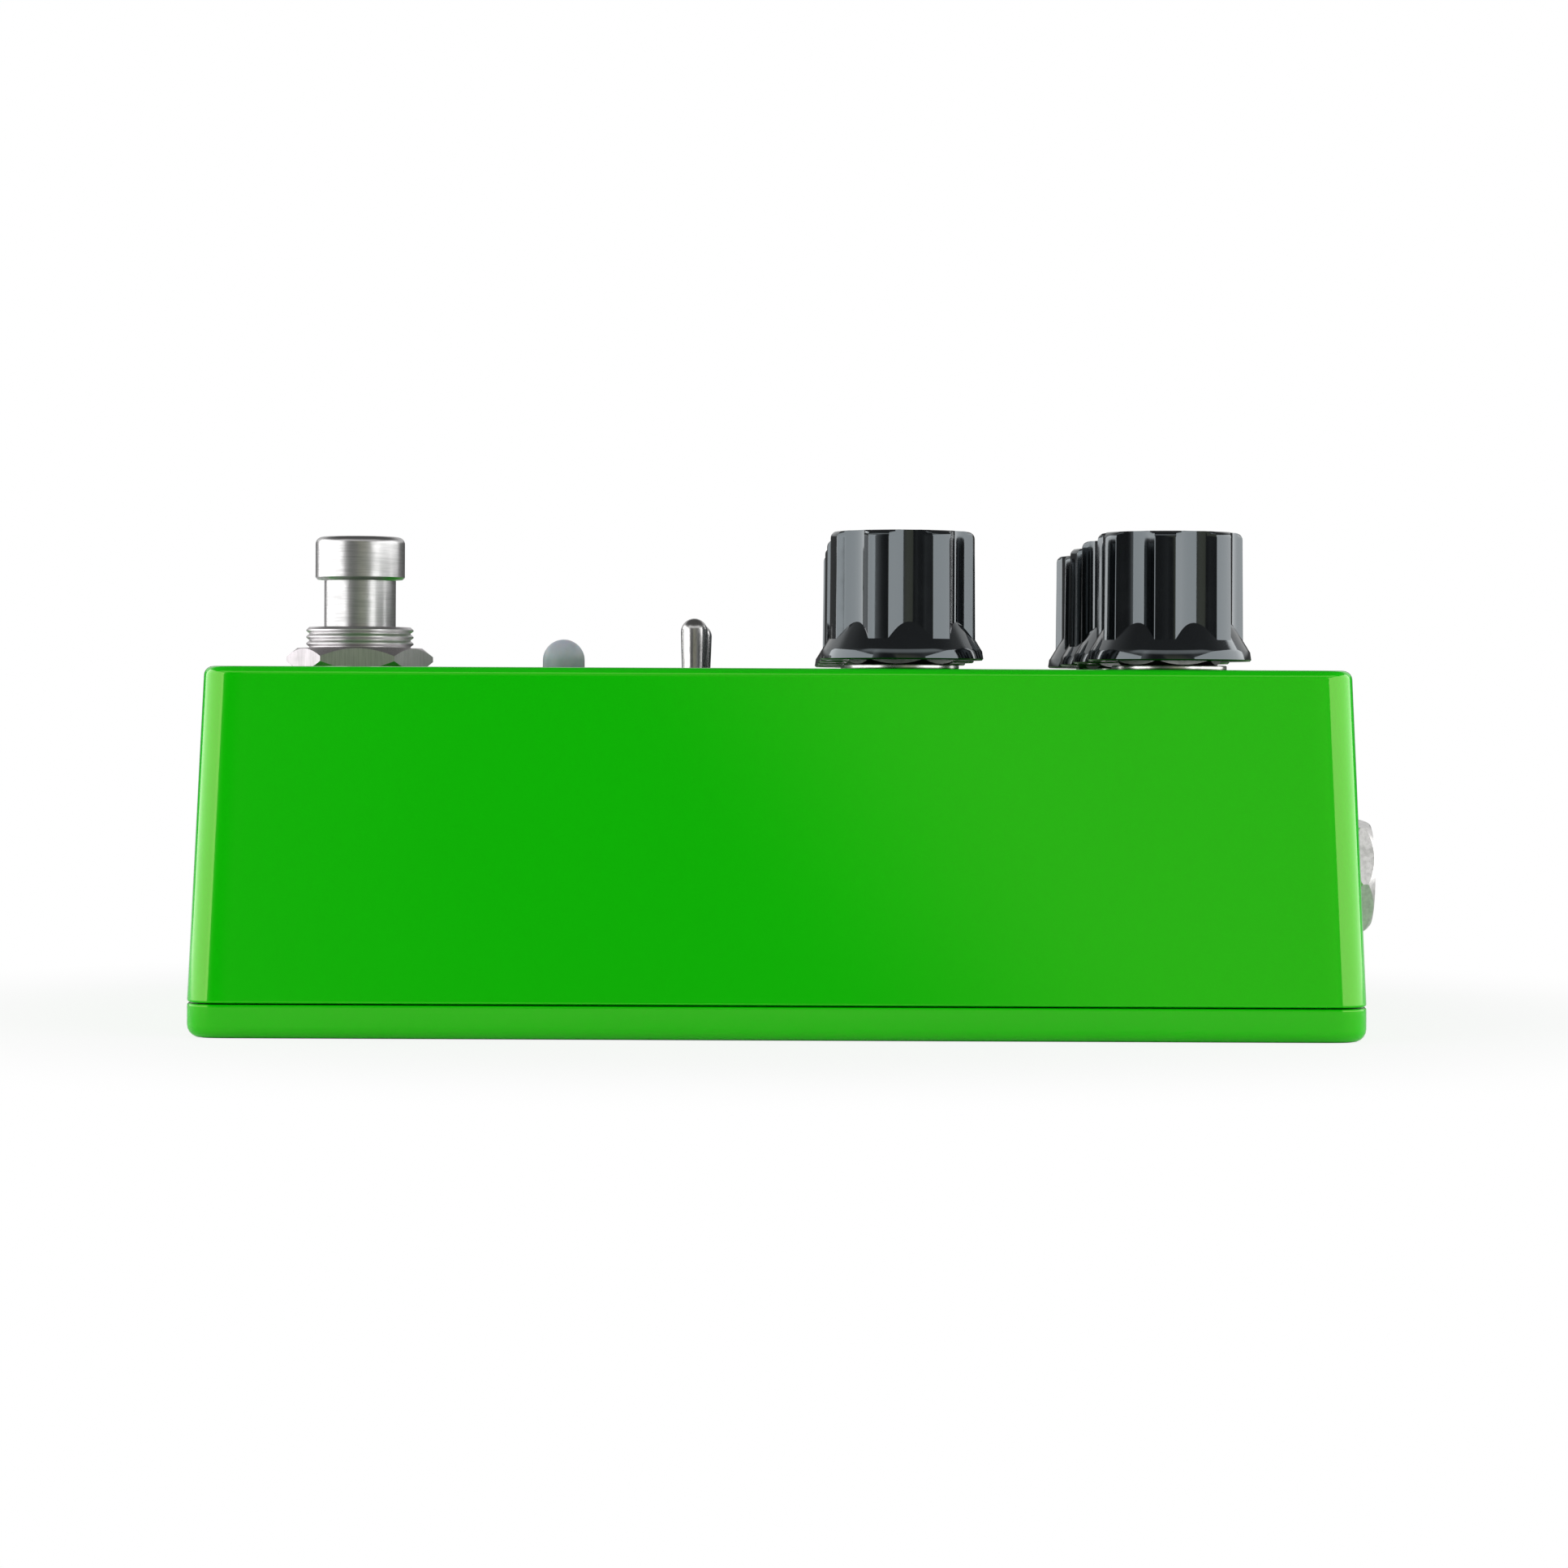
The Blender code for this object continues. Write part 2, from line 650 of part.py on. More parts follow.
def spring_coil(low, high):
    """The return spring between the case's well and the plunger's foot."""
    curve = bpy.data.curves.new("footswitch_spring", "CURVE")
    curve.dimensions = "3D"
    curve.bevel_depth = SPRING_WIRE
    curve.bevel_resolution = 1
    curve.use_fill_caps = True
    count = SPRING_TURNS * SPRING_STEPS + 1
    line = curve.splines.new("POLY")
    line.points.add(count - 1)
    low += SPRING_WIRE
    high -= SPRING_WIRE
    for index, point in enumerate(line.points):
        angle = 2 * math.pi * index / SPRING_STEPS
        height = low + (high - low) * index / (count - 1)
        point.co = (
            SPRING_RADIUS * math.cos(angle), SWITCH_Y + SPRING_RADIUS * math.sin(angle),
            height, 1.0,
        )
    made = bpy.data.objects.new("footswitch_spring", curve)
    bpy.context.scene.collection.objects.link(made)
    keep(made, "footswitch_spring", "spring_steel")


def indicator_led():
    """The LED: a dome through the panel, a flange below it and two leads."""
    dome = LED_TOP - LED_RADIUS
    flange_top = UNDERSIDE
    flange_foot = flange_top - LED_FLANGE_HEIGHT
    arc = [
        (LED_RADIUS * math.sin(angle), dome + LED_RADIUS * math.cos(angle))
        for angle in (math.radians(18 * step) for step in range(6))
    ]
    led = turned("indicator_led", arc + [
        (LED_RADIUS, flange_top), (LED_FLANGE_RADIUS, flange_top),
        (LED_FLANGE_RADIUS, flange_foot), (0.0, flange_foot),
    ], steps=16)
    led.location = (0.0, LED_Y, BOX_HEIGHT)
    half = LED_LEAD_SIDE / 2
    for side in (-1, 1):
        x = side * LED_LEAD_SPREAD
        add(led, block(
            f"lead_{side}", (x - half, LED_Y - half, BOARD_TOP + GAP),
            (x + half, LED_Y + half, BOX_HEIGHT + flange_foot + LED_FLANGE_HEIGHT / 2),
        ))
    keep(led, "indicator_led", "milky_lens")


def toggles():
    """Two toggle switches. Each lever pivots on a ball inside its bushing."""
    width, length, depth = TOGGLE_BODY
    pivot = TOGGLE_PIVOT
    ball = LEVER_BALL_RADIUS
    reach = TOGGLE_TIP - pivot
    tip = [
        (LEVER_TIP_RADIUS * math.sin(angle), reach - LEVER_TIP_RADIUS * (1 - math.cos(angle)))
        for angle in (math.radians(22.5 * step) for step in range(5))
    ]
    neck = math.sqrt(ball ** 2 - LEVER_NECK_RADIUS ** 2)
    globe = [
        (ball * math.sin(angle), ball * math.cos(angle))
        for angle in (math.radians(step) for step in (65, 90, 115, 140))
    ]
    lever = tip + [(LEVER_NECK_RADIUS, neck)] + globe + [(0.0, -ball)]
    for side, name in ((-1, "left"), (1, "right")):
        x = side * TOGGLE_X
        body = block(
            "toggle_body_" + name,
            (x - width / 2, TOGGLE_Y - length / 2, BOX_HEIGHT + UNDERSIDE - depth),
            (x + width / 2, TOGGLE_Y + length / 2, BOX_HEIGHT + UNDERSIDE),
            [chamfered(TOGGLE_BODY_EDGE)],
        )
        add(body, rods("toggle_bushing_" + name, [(
            (x, TOGGLE_Y, BOX_HEIGHT + UNDERSIDE - OVERRUN),
            (x, TOGGLE_Y, BOX_HEIGHT + TOGGLE_BUSHING_TOP), TOGGLE_BUSHING_RADIUS,
        )]))
        cut(body, rods("toggle_mouth_" + name, [(
            (x, TOGGLE_Y, BOX_HEIGHT + pivot - ball - 2 * GAP),
            (x, TOGGLE_Y, BOX_HEIGHT + OVERRUN), TOGGLE_MOUTH_RADIUS,
        )]))
        keep(body, "toggle_body_" + name, "dark_plastic")
        made = turned("toggle_lever_" + name, lever, steps=16)
        made.location = (x, TOGGLE_Y, BOX_HEIGHT + pivot)
        made.rotation_euler = (0.0, math.radians(TOGGLE_LEAN), 0.0)
        keep(made, "toggle_lever_" + name, "bright_metal")


def circuit_board():
    """The board under the potentiometers, and a dual amplifier chip on its underside."""
    low = BOARD_TOP - BOARD_THICKNESS
    board = block(
        "main_circuit_board", (-BOARD_WIDTH / 2, BOARD_FRONT, low),
        (BOARD_WIDTH / 2, BOARD_REAR, BOARD_TOP),
        [chamfered(BOARD_CORNER)],
    )
    keep(board, "main_circuit_board", "board_laminate")
    width, length, height = CHIP_SIZE
    chip = block(
        "amplifier_chip", (-width / 2, -length / 2, low - GAP - height),
        (width / 2, length / 2, low - GAP),
        [chamfered(CHIP_EDGE)],
    )
    keep(chip, "amplifier_chip", "dark_plastic")


def ribbon(case_foot):
    """The flat cable from the board's front edge, down and forward to the switch lugs."""
    y_board = BOARD_FRONT + RIBBON_BOARD_INSET
    y_lug = SWITCH_Y + SWITCH_CASE_SIDE / 2 - RIBBON_LUG_REACH
    high = BOARD_TOP - BOARD_THICKNESS - GAP
    low = case_foot - RIBBON_DROP
    bend = RIBBON_BEND
    path = [(y_board, high), (y_board, low + bend)]
    for step in range(1, RIBBON_BEND_STEPS + 1):
        angle = math.pi / 2 * step / RIBBON_BEND_STEPS
        path.append((y_board - bend * (1 - math.cos(angle)), low + bend * (1 - math.sin(angle))))
    path.append((y_lug, low))
    bm = bmesh.new()
    sides = []
    for x in (-RIBBON_WIDTH / 2, RIBBON_WIDTH / 2):
        sides.append([bm.verts.new((x, y, z)) for y, z in path])
    for index in range(len(path) - 1):
        near, far = sides
        bm.faces.new((near[index], near[index + 1], far[index + 1], far[index]))
    made = object_from(bm, "footswitch_ribbon")
    thick = made.modifiers.new("thickness", "SOLIDIFY")
    thick.thickness = RIBBON_THICKNESS
    thick.offset = 0.0
    thick.use_even_offset = True
    keep(made, "footswitch_ribbon", "grey_ribbon")


def wall_outside(z):
    """Where the rear wall's outer face is at a height."""
    return BOX_LENGTH / 2 - DRAFT * (z - SEAM) / (BOX_HEIGHT - SEAM)


def jacks():
    """Two jacks: a body with its bushing and bore, and a nut outside the wall."""
    width, length, height = JACK_BODY
    body_end = wall_outside(JACK_Z + height / 2) - WALL - 2 * GAP
    for side, name in ((-1, "left"), (1, "right")):
        x = side * JACK_X
        body = block(
            "jack_body_" + name, (x - width / 2, body_end - length, JACK_Z - height / 2),
            (x + width / 2, body_end, JACK_Z + height / 2),
            [chamfered(JACK_BODY_EDGE)],
        )
        add(body, rods("jack_bushing_" + name, [(
            (x, body_end - OVERRUN, JACK_Z), (x, JACK_BUSHING_END, JACK_Z),
            JACK_BUSHING_RADIUS,
        )]))
        cut(body, rods("jack_bore_" + name, [(
            (x, JACK_BUSHING_END - JACK_BORE_DEPTH, JACK_Z),
            (x, JACK_BUSHING_END + OVERRUN, JACK_Z), JACK_BORE_RADIUS,
        )]))
        keep(body, "jack_body_" + name, "dark_plastic")
        thickness = JACK_NUT_END - JACK_NUT_START
        hole = JACK_BUSHING_RADIUS + GAP
        # Laid on its side, each nut has a corner a little under the level towards +X.
        turn = math.radians(JACK_NUT_TURN)
        nut = hex_nut("jack_nut_" + name, JACK_NUT_FLATS, thickness, hole, turn)
        nut.rotation_euler = (math.radians(-90), 0.0, 0.0)
        nut.location = (x, JACK_NUT_START, JACK_Z)
        keep(nut, "jack_nut_" + name, "bright_metal")


def power_socket():
    """The power socket turned to face the rear, with its pin and inside nut."""
    face = wall_outside(JACK_Z - POWER_FLANGE_RADIUS) + GAP
    tip = face + POWER_FLANGE_THICKNESS
    foot = face - WALL - POWER_BODY_DEPTH
    floor = foot + POWER_BACK
    socket = rods("power_socket", [
        ((0.0, foot, JACK_Z), (0.0, face + OVERRUN, JACK_Z), POWER_BODY_RADIUS),
    ])
    add(socket, rods("power_flange", [
        ((0.0, face, JACK_Z), (0.0, tip, JACK_Z), POWER_FLANGE_RADIUS),
    ]))
    cut(socket, rods("power_bore", [
        ((0.0, floor, JACK_Z), (0.0, tip + OVERRUN, JACK_Z), POWER_BORE_RADIUS),
    ]))
    add(socket, rods("power_pin", [
        ((0.0, floor - POWER_BACK / 2, JACK_Z), (0.0, tip - POWER_PIN_SETBACK, JACK_Z),
         POWER_PIN_RADIUS),
    ], segments=10))
    keep(socket, "power_socket", "dark_plastic")
    inner = wall_outside(JACK_Z + POWER_NUT_FLATS / 2) - WALL - GAP
    nut = hex_nut(
        "power_socket_nut", POWER_NUT_FLATS, POWER_NUT_THICKNESS, POWER_BODY_RADIUS + GAP
    )
    nut.rotation_euler = (math.radians(-90), 0.0, 0.0)
    nut.location = (0.0, inner - GAP - POWER_NUT_THICKNESS, JACK_Z)
    keep(nut, "power_socket_nut", "bright_metal")


def smooth_round_parts():
    for item in PEDAL.objects:
        if item.type == "MESH" and not item.name.startswith(("base", "main", "amplifier")):
            item.data.shade_smooth()
            item.data.set_sharp_from_angle(angle=math.radians(35))


clear_scene()
PEDAL = collection("effects_pedal")
CUTTERS = collection("cutters")
enclosure_body()
base_lid()
lid_screws()
knobs()
potentiometers()
switch_foot = footswitch()
indicator_led()
toggles()
circuit_board()
ribbon(switch_foot)
jacks()
power_socket()
smooth_round_parts()
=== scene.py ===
"""Looks of a box-type guitar effects pedal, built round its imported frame.

Everything is in metres. +Z is up, +Y runs to the rear wall with the jacks, and +X to the
player's right. Each sub-assembly is a class that models its pieces in place and dresses them.
"""

import json
import logging
import math
from collections.abc import Callable, Iterable, Iterator, Sequence
from dataclasses import dataclass, field
from enum import Enum
from typing import ClassVar

import bpy
from mathutils import Matrix, Vector


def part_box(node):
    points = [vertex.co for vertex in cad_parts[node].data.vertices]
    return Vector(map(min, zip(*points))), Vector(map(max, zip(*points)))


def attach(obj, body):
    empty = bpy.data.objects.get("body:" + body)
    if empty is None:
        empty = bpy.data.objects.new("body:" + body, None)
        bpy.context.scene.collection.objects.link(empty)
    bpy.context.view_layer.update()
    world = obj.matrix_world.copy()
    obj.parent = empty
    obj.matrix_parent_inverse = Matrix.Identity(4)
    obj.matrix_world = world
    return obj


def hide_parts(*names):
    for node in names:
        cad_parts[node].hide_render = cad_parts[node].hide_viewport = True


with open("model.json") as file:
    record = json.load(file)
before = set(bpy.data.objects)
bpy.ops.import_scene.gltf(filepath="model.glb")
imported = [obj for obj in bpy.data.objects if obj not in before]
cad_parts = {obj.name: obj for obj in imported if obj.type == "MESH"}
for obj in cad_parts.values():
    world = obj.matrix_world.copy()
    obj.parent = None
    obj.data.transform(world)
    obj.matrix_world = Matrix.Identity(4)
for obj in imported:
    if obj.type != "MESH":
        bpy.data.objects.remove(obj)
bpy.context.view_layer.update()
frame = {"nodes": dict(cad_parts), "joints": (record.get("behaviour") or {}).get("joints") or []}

LOG = logging.getLogger("effects_pedal")
MM = 0.001
ROOT = "enclosure"

Point = tuple[float, float]
Place = tuple[float, float, float]
Colour = tuple[float, float, float]


# ---------------------------------------------------------------- shader graphs


class Signal:
    """A shader value that takes part in arithmetic."""

    def __init__(self, graph: "Graph", socket: bpy.types.NodeSocket) -> None:
        """Wrap one output socket of a graph's node."""
        self.graph = graph
        self.socket = socket

    def _math(self, operation: str, *terms: "Signal | float") -> "Signal":
        """Add a Math node.

        Args:
            operation: The node's operation.
            terms: Its values or links, in order.

        Returns:
            The node's result.
        """
        return self.graph.value(
            "ShaderNodeMath", {"operation": operation}, dict(enumerate(terms))
        )

    def __add__(self, other: "Signal | float") -> "Signal":
        """Sum."""
        return self._math("ADD", self, other)

    __radd__ = __add__

    def __sub__(self, other: "Signal | float") -> "Signal":
        """Difference."""
        return self._math("SUBTRACT", self, other)

    def __rsub__(self, other: float) -> "Signal":
        """Difference from a number."""
        return self._math("SUBTRACT", other, self)

    def __mul__(self, other: "Signal | float") -> "Signal":
        """Product."""
        return self._math("MULTIPLY", self, other)

    __rmul__ = __mul__

    def __pow__(self, other: float) -> "Signal":
        """Power."""
        return self._math("POWER", self, other)

    def sine(self) -> "Signal":
        """Sine of the value, in radians."""
        return self._math("SINE", self)

    def clamped(self) -> "Signal":
        """The value kept between 0 and 1."""
        return self.graph.value("ShaderNodeClamp", {}, {"Value": self})

    def step(self, low: float, high: float) -> "Signal":
        """A smooth rise from 0 at low to 1 at high."""
        settings = {"interpolation_type": "SMOOTHSTEP"}
        sockets = {"Value": self, "From Min": low, "From Max": high}
        return self.graph.value("ShaderNodeMapRange", settings, sockets)


class Graph:
    """A node tree that is filled through one method."""

    def __init__(self, tree: bpy.types.NodeTree) -> None:
        """Start with an empty tree."""
        self.tree = tree
        self.tree.nodes.clear()

    def node(
        self,
        kind: str,
        settings: dict[str, object] | None = None,
        sockets: dict[str | int, object] | None = None,
    ) -> bpy.types.Node:
        """Add any node.

        Args:
            kind: The node's type.
            settings: Its properties, set first. "stops" sets a ramp's stops.
            sockets: Values or Signals for its inputs, by name or number.

        Returns:
            The node.
        """
        made = self.tree.nodes.new(kind)
        for name, value in (settings or {}).items():
            if name == "stops":
                self._set_stops(made.color_ramp, value)
            else:
                setattr(made, name, value)
        for key, value in (sockets or {}).items():
            if isinstance(value, Signal):
                self.tree.links.new(value.socket, made.inputs[key])
            elif isinstance(value, tuple) and made.inputs[key].type == "RGBA":
                made.inputs[key].default_value = (*value, 1.0)
            else:
                made.inputs[key].default_value = value
        return made

    @staticmethod
    def _set_stops(ramp: bpy.types.ColorRamp, stops: Sequence[tuple[float, float]]) -> None:
        """Give a ramp its grey stops.

        Args:
            ramp: The ramp of a new ColorRamp node.
            stops: Its stops in order, as (place, level).
        """
        while len(ramp.elements) < len(stops):
            ramp.elements.new(1.0)
        for element, (place, level) in zip(ramp.elements, stops):
            element.position = place
            element.color = (level, level, level, 1.0)

    def value(
        self,
        kind: str,
        settings: dict[str, object] | None = None,
        sockets: dict[str | int, object] | None = None,
        output: str | int = 0,
    ) -> Signal:
        """Add any node and return one of its outputs as a Signal."""
        return Signal(self, self.node(kind, settings, sockets).outputs[output])

    def axis(self, spot: Signal, name: str) -> Signal:
        """One coordinate, X, Y or Z, of a vector."""
        return self.value("ShaderNodeSeparateXYZ", {}, {0: spot}, name)

    def mixed(self, factor: Signal, first: Signal, second: Signal) -> Signal:
        """A shader between two others."""
        return self.value("ShaderNodeMixShader", {}, {0: factor, 1: first, 2: second})


class Paint(Graph):
    """A material's graph."""

    def __init__(self, name: str) -> None:
        """Start an empty material."""
        self.material = bpy.data.materials.new(name)
        self.material.use_nodes = True
        super().__init__(self.material.node_tree)

    def place(self, centre: Place = (0.0, 0.0, 0.0), stretch: Place = (1.0, 1.0, 1.0)) -> Signal:
        """Object coordinates about a centre.

        Args:
            centre: The point that becomes the origin.
            stretch: How much each axis is scaled.

        Returns:
            The coordinates.
        """
        spot = self.value("ShaderNodeTexCoord", output="Object")
        shift = tuple(-c * s for c, s in zip(centre, stretch))
        sockets = {"Vector": spot, "Location": shift, "Scale": stretch}
        return self.value("ShaderNodeMapping", {}, sockets)

    def noise(self, size: float, detail: float = 2.0, spot: Signal | None = None) -> Signal:
        """Noise whose grains are about size across, from 0 to 1."""
        sockets = {"Vector": spot or self.place(), "Scale": 1.0 / size, "Detail": detail}
        return self.value("ShaderNodeTexNoise", {}, sockets)

    def blend(self, factor: "Signal | float", first: object, second: object) -> Signal:
        """A colour between two others."""
        sockets = {0: factor, 6: first, 7: second}
        return self.value("ShaderNodeMix", {"data_type": "RGBA"}, sockets, 2)

    def bump(self, height: Signal, depth: float, strength: float = 1.0) -> Signal:
        """A normal that a height between 0 and 1 makes, depth deep."""
        sockets = {"Height": height, "Distance": depth, "Strength": strength}
        return self.value("ShaderNodeBump", {}, sockets)

    def principled(self, **sockets: object) -> Signal:
        """A Principled shader.

        Args:
            sockets: Values or Signals, named as the sockets are, with _ for a space.

        Returns:
            The shader.
        """
        named = {
            name.replace("_", " ").title().replace("Ior", "IOR"): value
            for name, value in sockets.items()
        }
        return self.value("ShaderNodeBsdfPrincipled", {}, named)

    def finished(self, shader: Signal) -> bpy.types.Material:
        """The material, with this shader on its surface."""
        self.node("ShaderNodeOutputMaterial", {}, {"Surface": shader})
        return self.material

    def surface(self, **sockets: object) -> bpy.types.Material:
        """The material, with a Principled surface that has these sockets."""
        return self.finished(self.principled(**sockets))


# ---------------------------------------------------------------- finishes


class Grain(Enum):
    """Which way a metal's fine tool marks run."""

    PLAIN = "plain"
    TURNED = "turned"
    DRAWN = "drawn"


@dataclass(frozen=True)
class Finish:
    """A named finish. Its material is made once."""

    name: str
    slot: str

    def material(self) -> bpy.types.Material:
        """The finish's material."""
        return bpy.data.materials.get(self.name) or self.paint(Paint(self.name))

    def paint(self, graph: Paint) -> bpy.types.Material:
        """Fill the graph. Each kind of finish says how."""
        raise NotImplementedError


@dataclass(frozen=True)
class Enamel(Finish):
    """Thick glossy enamel baked on a casting, with a faint orange peel."""

    colour: Colour
    peel: float = 1.4 * MM
    peel_depth: float = 0.0012 * MM

    def paint(self, graph: Paint) -> bpy.types.Material:
        """Colour that varies a little, peel and tiny inclusions in a clear gloss."""
        drift = graph.noise(26 * MM, 1.0)
        deeper = tuple(0.93 * c for c in self.colour)
        peel = graph.noise(self.peel, 2.0)
        fine = graph.noise(0.3 * MM, 2.0)
        return graph.surface(
            base_color=graph.blend(drift, deeper, self.colour),
            roughness=0.045 + 0.04 * fine,
            ior=1.64,
            specular_tint=(1.0, 1.0, 0.45),
            normal=graph.bump(peel + 0.15 * fine, self.peel_depth),
        )


@dataclass(frozen=True)
class GlossPlastic(Finish):
    """Polished thermoset plastic, with handling haze and a soft flow in its surface."""

    colour: Colour
    gloss: float = 0.055

    def paint(self, graph: Paint) -> bpy.types.Material:
        """Near-black colour, patchy gloss and a slight waviness."""
        haze = graph.noise(2.2 * MM, 4.0)
        flow = graph.noise(1.6 * MM, 1.0, graph.place(stretch=(1.0, 1.0, 0.25)))
        lighter = tuple(1.5 * c + 0.001 for c in self.colour)
        return graph.surface(
            base_color=graph.blend(haze, self.colour, lighter),
            roughness=self.gloss + 0.06 * haze.step(0.35, 0.8),
            ior=1.8,
            specular_tint=(0.84, 0.94, 1.0),
            normal=graph.bump(flow, 0.004 * MM, 0.6),
        )


@dataclass(frozen=True)
class MattePlastic(Finish):
    """Moulded plastic with a fine even grain."""

    colour: Colour
    gloss: float = 0.42

    def paint(self, graph: Paint) -> bpy.types.Material:
        """Grainy bump, with gloss and colour that follow it."""
        grain = graph.noise(0.35 * MM, 3.0)
        lighter = tuple(1.3 * c + 0.004 for c in self.colour)
        return graph.surface(
            base_color=graph.blend(grain, self.colour, lighter),
            roughness=self.gloss + 0.12 * grain,
            normal=graph.bump(grain, 0.008 * MM, 0.5),
        )


@dataclass(frozen=True)
class Plating(Finish):
    """Bright plated or bare metal with fine tool marks."""

    colour: Colour
    gloss: float
    grain: Grain = Grain.PLAIN
    centre: Place = (0.0, 0.0, 0.0)
    mark_depth: float = 0.0012 * MM

    def marks(self, graph: Paint) -> Signal:
        """The tool marks' height, from 0 to 1."""
        stretch = {
            Grain.PLAIN: (1.0, 1.0, 1.0),
            Grain.TURNED: (0.04, 0.04, 1.0),
            Grain.DRAWN: (1.0, 1.0, 0.04),
        }[self.grain]
        size = 0.5 * MM if self.grain is Grain.PLAIN else 0.12 * MM
        return graph.noise(size, 3.0, graph.place(self.centre, stretch))

    def paint(self, graph: Paint) -> bpy.types.Material:
        """Metal with marks, and a patchy film that dulls it a little."""
        marks = self.marks(graph)
        film = graph.noise(1.8 * MM, 3.0).step(0.4, 0.75)
        dull = tuple(0.78 * c for c in self.colour)
        wear = (0.5 * film + marks.step(0.35, 0.75)).clamped()
        return graph.surface(
            base_color=graph.blend(wear, self.colour, dull),
            metallic=1.0,
            roughness=self.gloss + 0.05 * film + 0.05 * marks,
            normal=graph.bump(marks, self.mark_depth, 0.6),
        )


@dataclass(frozen=True)
class MilkyLens(Finish):
    """An unlit diffused LED lens: cloudy resin under a clear skin."""

    colour: Colour
    centre: Place = (0.0, 0.0, 0.0)
    reach: float = 2.4 * MM

    def paint(self, graph: Paint) -> bpy.types.Material:
        """Cloudy colour, darker towards the bottom of the lens."""
        cloud = graph.noise(0.7 * MM, 3.0)
        depth = graph.axis(graph.place(self.centre), "Z").step(-self.reach, self.reach)
        low = tuple(0.55 * c for c in self.colour)
        tone = (depth + 0.25 * (cloud - 0.5)).clamped()
        return graph.surface(
            base_color=graph.blend(tone, low, self.colour),
            roughness=0.3 + 0.1 * cloud,
            subsurface_weight=0.35,
            subsurface_scale=0.8 * MM,
            ior=1.4,
        )


@dataclass(frozen=True)
class Laminate(Finish):
    """A circuit board: solder mask over copper tracks, with a fine glass weave."""

    mask: Colour
    track: Colour
    pitch: float = 2.54 * MM

    def paint(self, graph: Paint) -> bpy.types.Material:
        """Lighter tracks on a grid, broken up by noise, under a satin mask."""
        spot = graph.place()
        rate = 2 * math.pi / self.pitch
        along = (graph.axis(spot, "X") * rate).sine() ** 2.0
        across = (graph.axis(spot, "Y") * rate).sine() ** 2.0
        gate = graph.noise(7 * MM, 0.0).step(0.48, 0.52)
        tracks = (along.step(0.86, 0.92) * gate + across.step(0.86, 0.92) * (1.0 - gate)).clamped()
        weave = graph.noise(0.4 * MM, 1.0)
        return graph.surface(
            base_color=graph.blend(tracks, self.mask, self.track),
            roughness=0.35 + 0.1 * weave,
            normal=graph.bump(tracks + 0.3 * weave, 0.03 * MM, 0.5),
        )


@dataclass(frozen=True)
class FilledPaint(Finish):
    """Filled paint, such as a knob's pointer line."""

    colour: Colour

    def paint(self, graph: Paint) -> bpy.types.Material:
        """Slightly grainy, slightly worn paint."""
        grain = graph.noise(0.2 * MM, 3.0)
        worn = tuple(0.8 * c for c in self.colour)
        return graph.surface(
            base_color=graph.blend(grain, worn, self.colour),
            roughness=0.4 + 0.15 * grain,
            normal=graph.bump(grain, 0.004 * MM, 0.5),
        )


GREEN = Enamel("green_enamel", "enclosure_enamel", (0.0, 0.53, 0.0))
BLACK = GlossPlastic("knob_black", "knob_plastic", (0.002, 0.0024, 0.003))
WHITE_LINE = FilledPaint("pointer_white", "knob_plastic", (0.75, 0.75, 0.72))
NICKEL = Plating("bright_nickel", "nut_plating", (0.66, 0.65, 0.64), 0.2)
TURNED_NICKEL = Plating(
    "turned_nickel", "footswitch_chrome", (0.48, 0.475, 0.475), 0.26, Grain.TURNED
)
LEVER_NICKEL = Plating("lever_nickel", "lever_chrome", (0.46, 0.455, 0.45), 0.2, Grain.DRAWN)
SCREW_STEEL = Plating("screw_zinc", "lid_screw_steel", (0.55, 0.55, 0.56), 0.26)
CASE_STEEL = Plating("pot_case_steel", "pot_case_metal", (0.5, 0.5, 0.5), 0.3)
SHAFT_METAL = Plating("shaft_alloy", "shaft_metal", (0.68, 0.68, 0.69), 0.28, Grain.TURNED)
WASHER_STEEL = Plating("washer_steel", "washer_steel", (0.55, 0.55, 0.55), 0.28)
SPRING_STEEL = Plating("spring_wire", "spring_steel", (0.45, 0.45, 0.46), 0.25)
BLUE_CASE = MattePlastic("switch_blue", "footswitch_case_plastic", (0.02, 0.1, 0.36))
SWITCH_BLACK = MattePlastic("switch_black", "switch_body_plastic", (0.015, 0.015, 0.017))
JACK_BLACK = MattePlastic("jack_black", "jack_plastic", (0.014, 0.014, 0.016), 0.34)
CHIP_BLACK = MattePlastic("chip_black", "chip_plastic", (0.018, 0.018, 0.018), 0.5)
RIBBON_GREY = MattePlastic("ribbon_grey", "ribbon_jacket", (0.3, 0.3, 0.31), 0.5)
BOARD = Laminate("board_mask", "board_laminate", (0.01, 0.12, 0.045), (0.03, 0.24, 0.09))
# Pot nuts are painted darker than bare nickel: painted shade for the shadow gap under each knob's
# skirt.
PAINTED_SHADE_NUT = Plating("dull_nut", "nut_plating", (0.3, 0.3, 0.3), 0.3)
THREAD = Plating("thread_nickel", "footswitch_chrome", (0.6, 0.58, 0.59), 0.32, Grain.TURNED)
NUT_FACE = Plating(
    "nut_face", "nut_plating", (0.5, 0.465, 0.485), 0.38, Grain.DRAWN, mark_depth=0.0005 * MM
)


# ---------------------------------------------------------------- modelling bench


def centre_of(node: str) -> Vector:
    """The middle of a frame node's box."""
    low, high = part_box(node)
    return (Vector(low) + Vector(high)) / 2


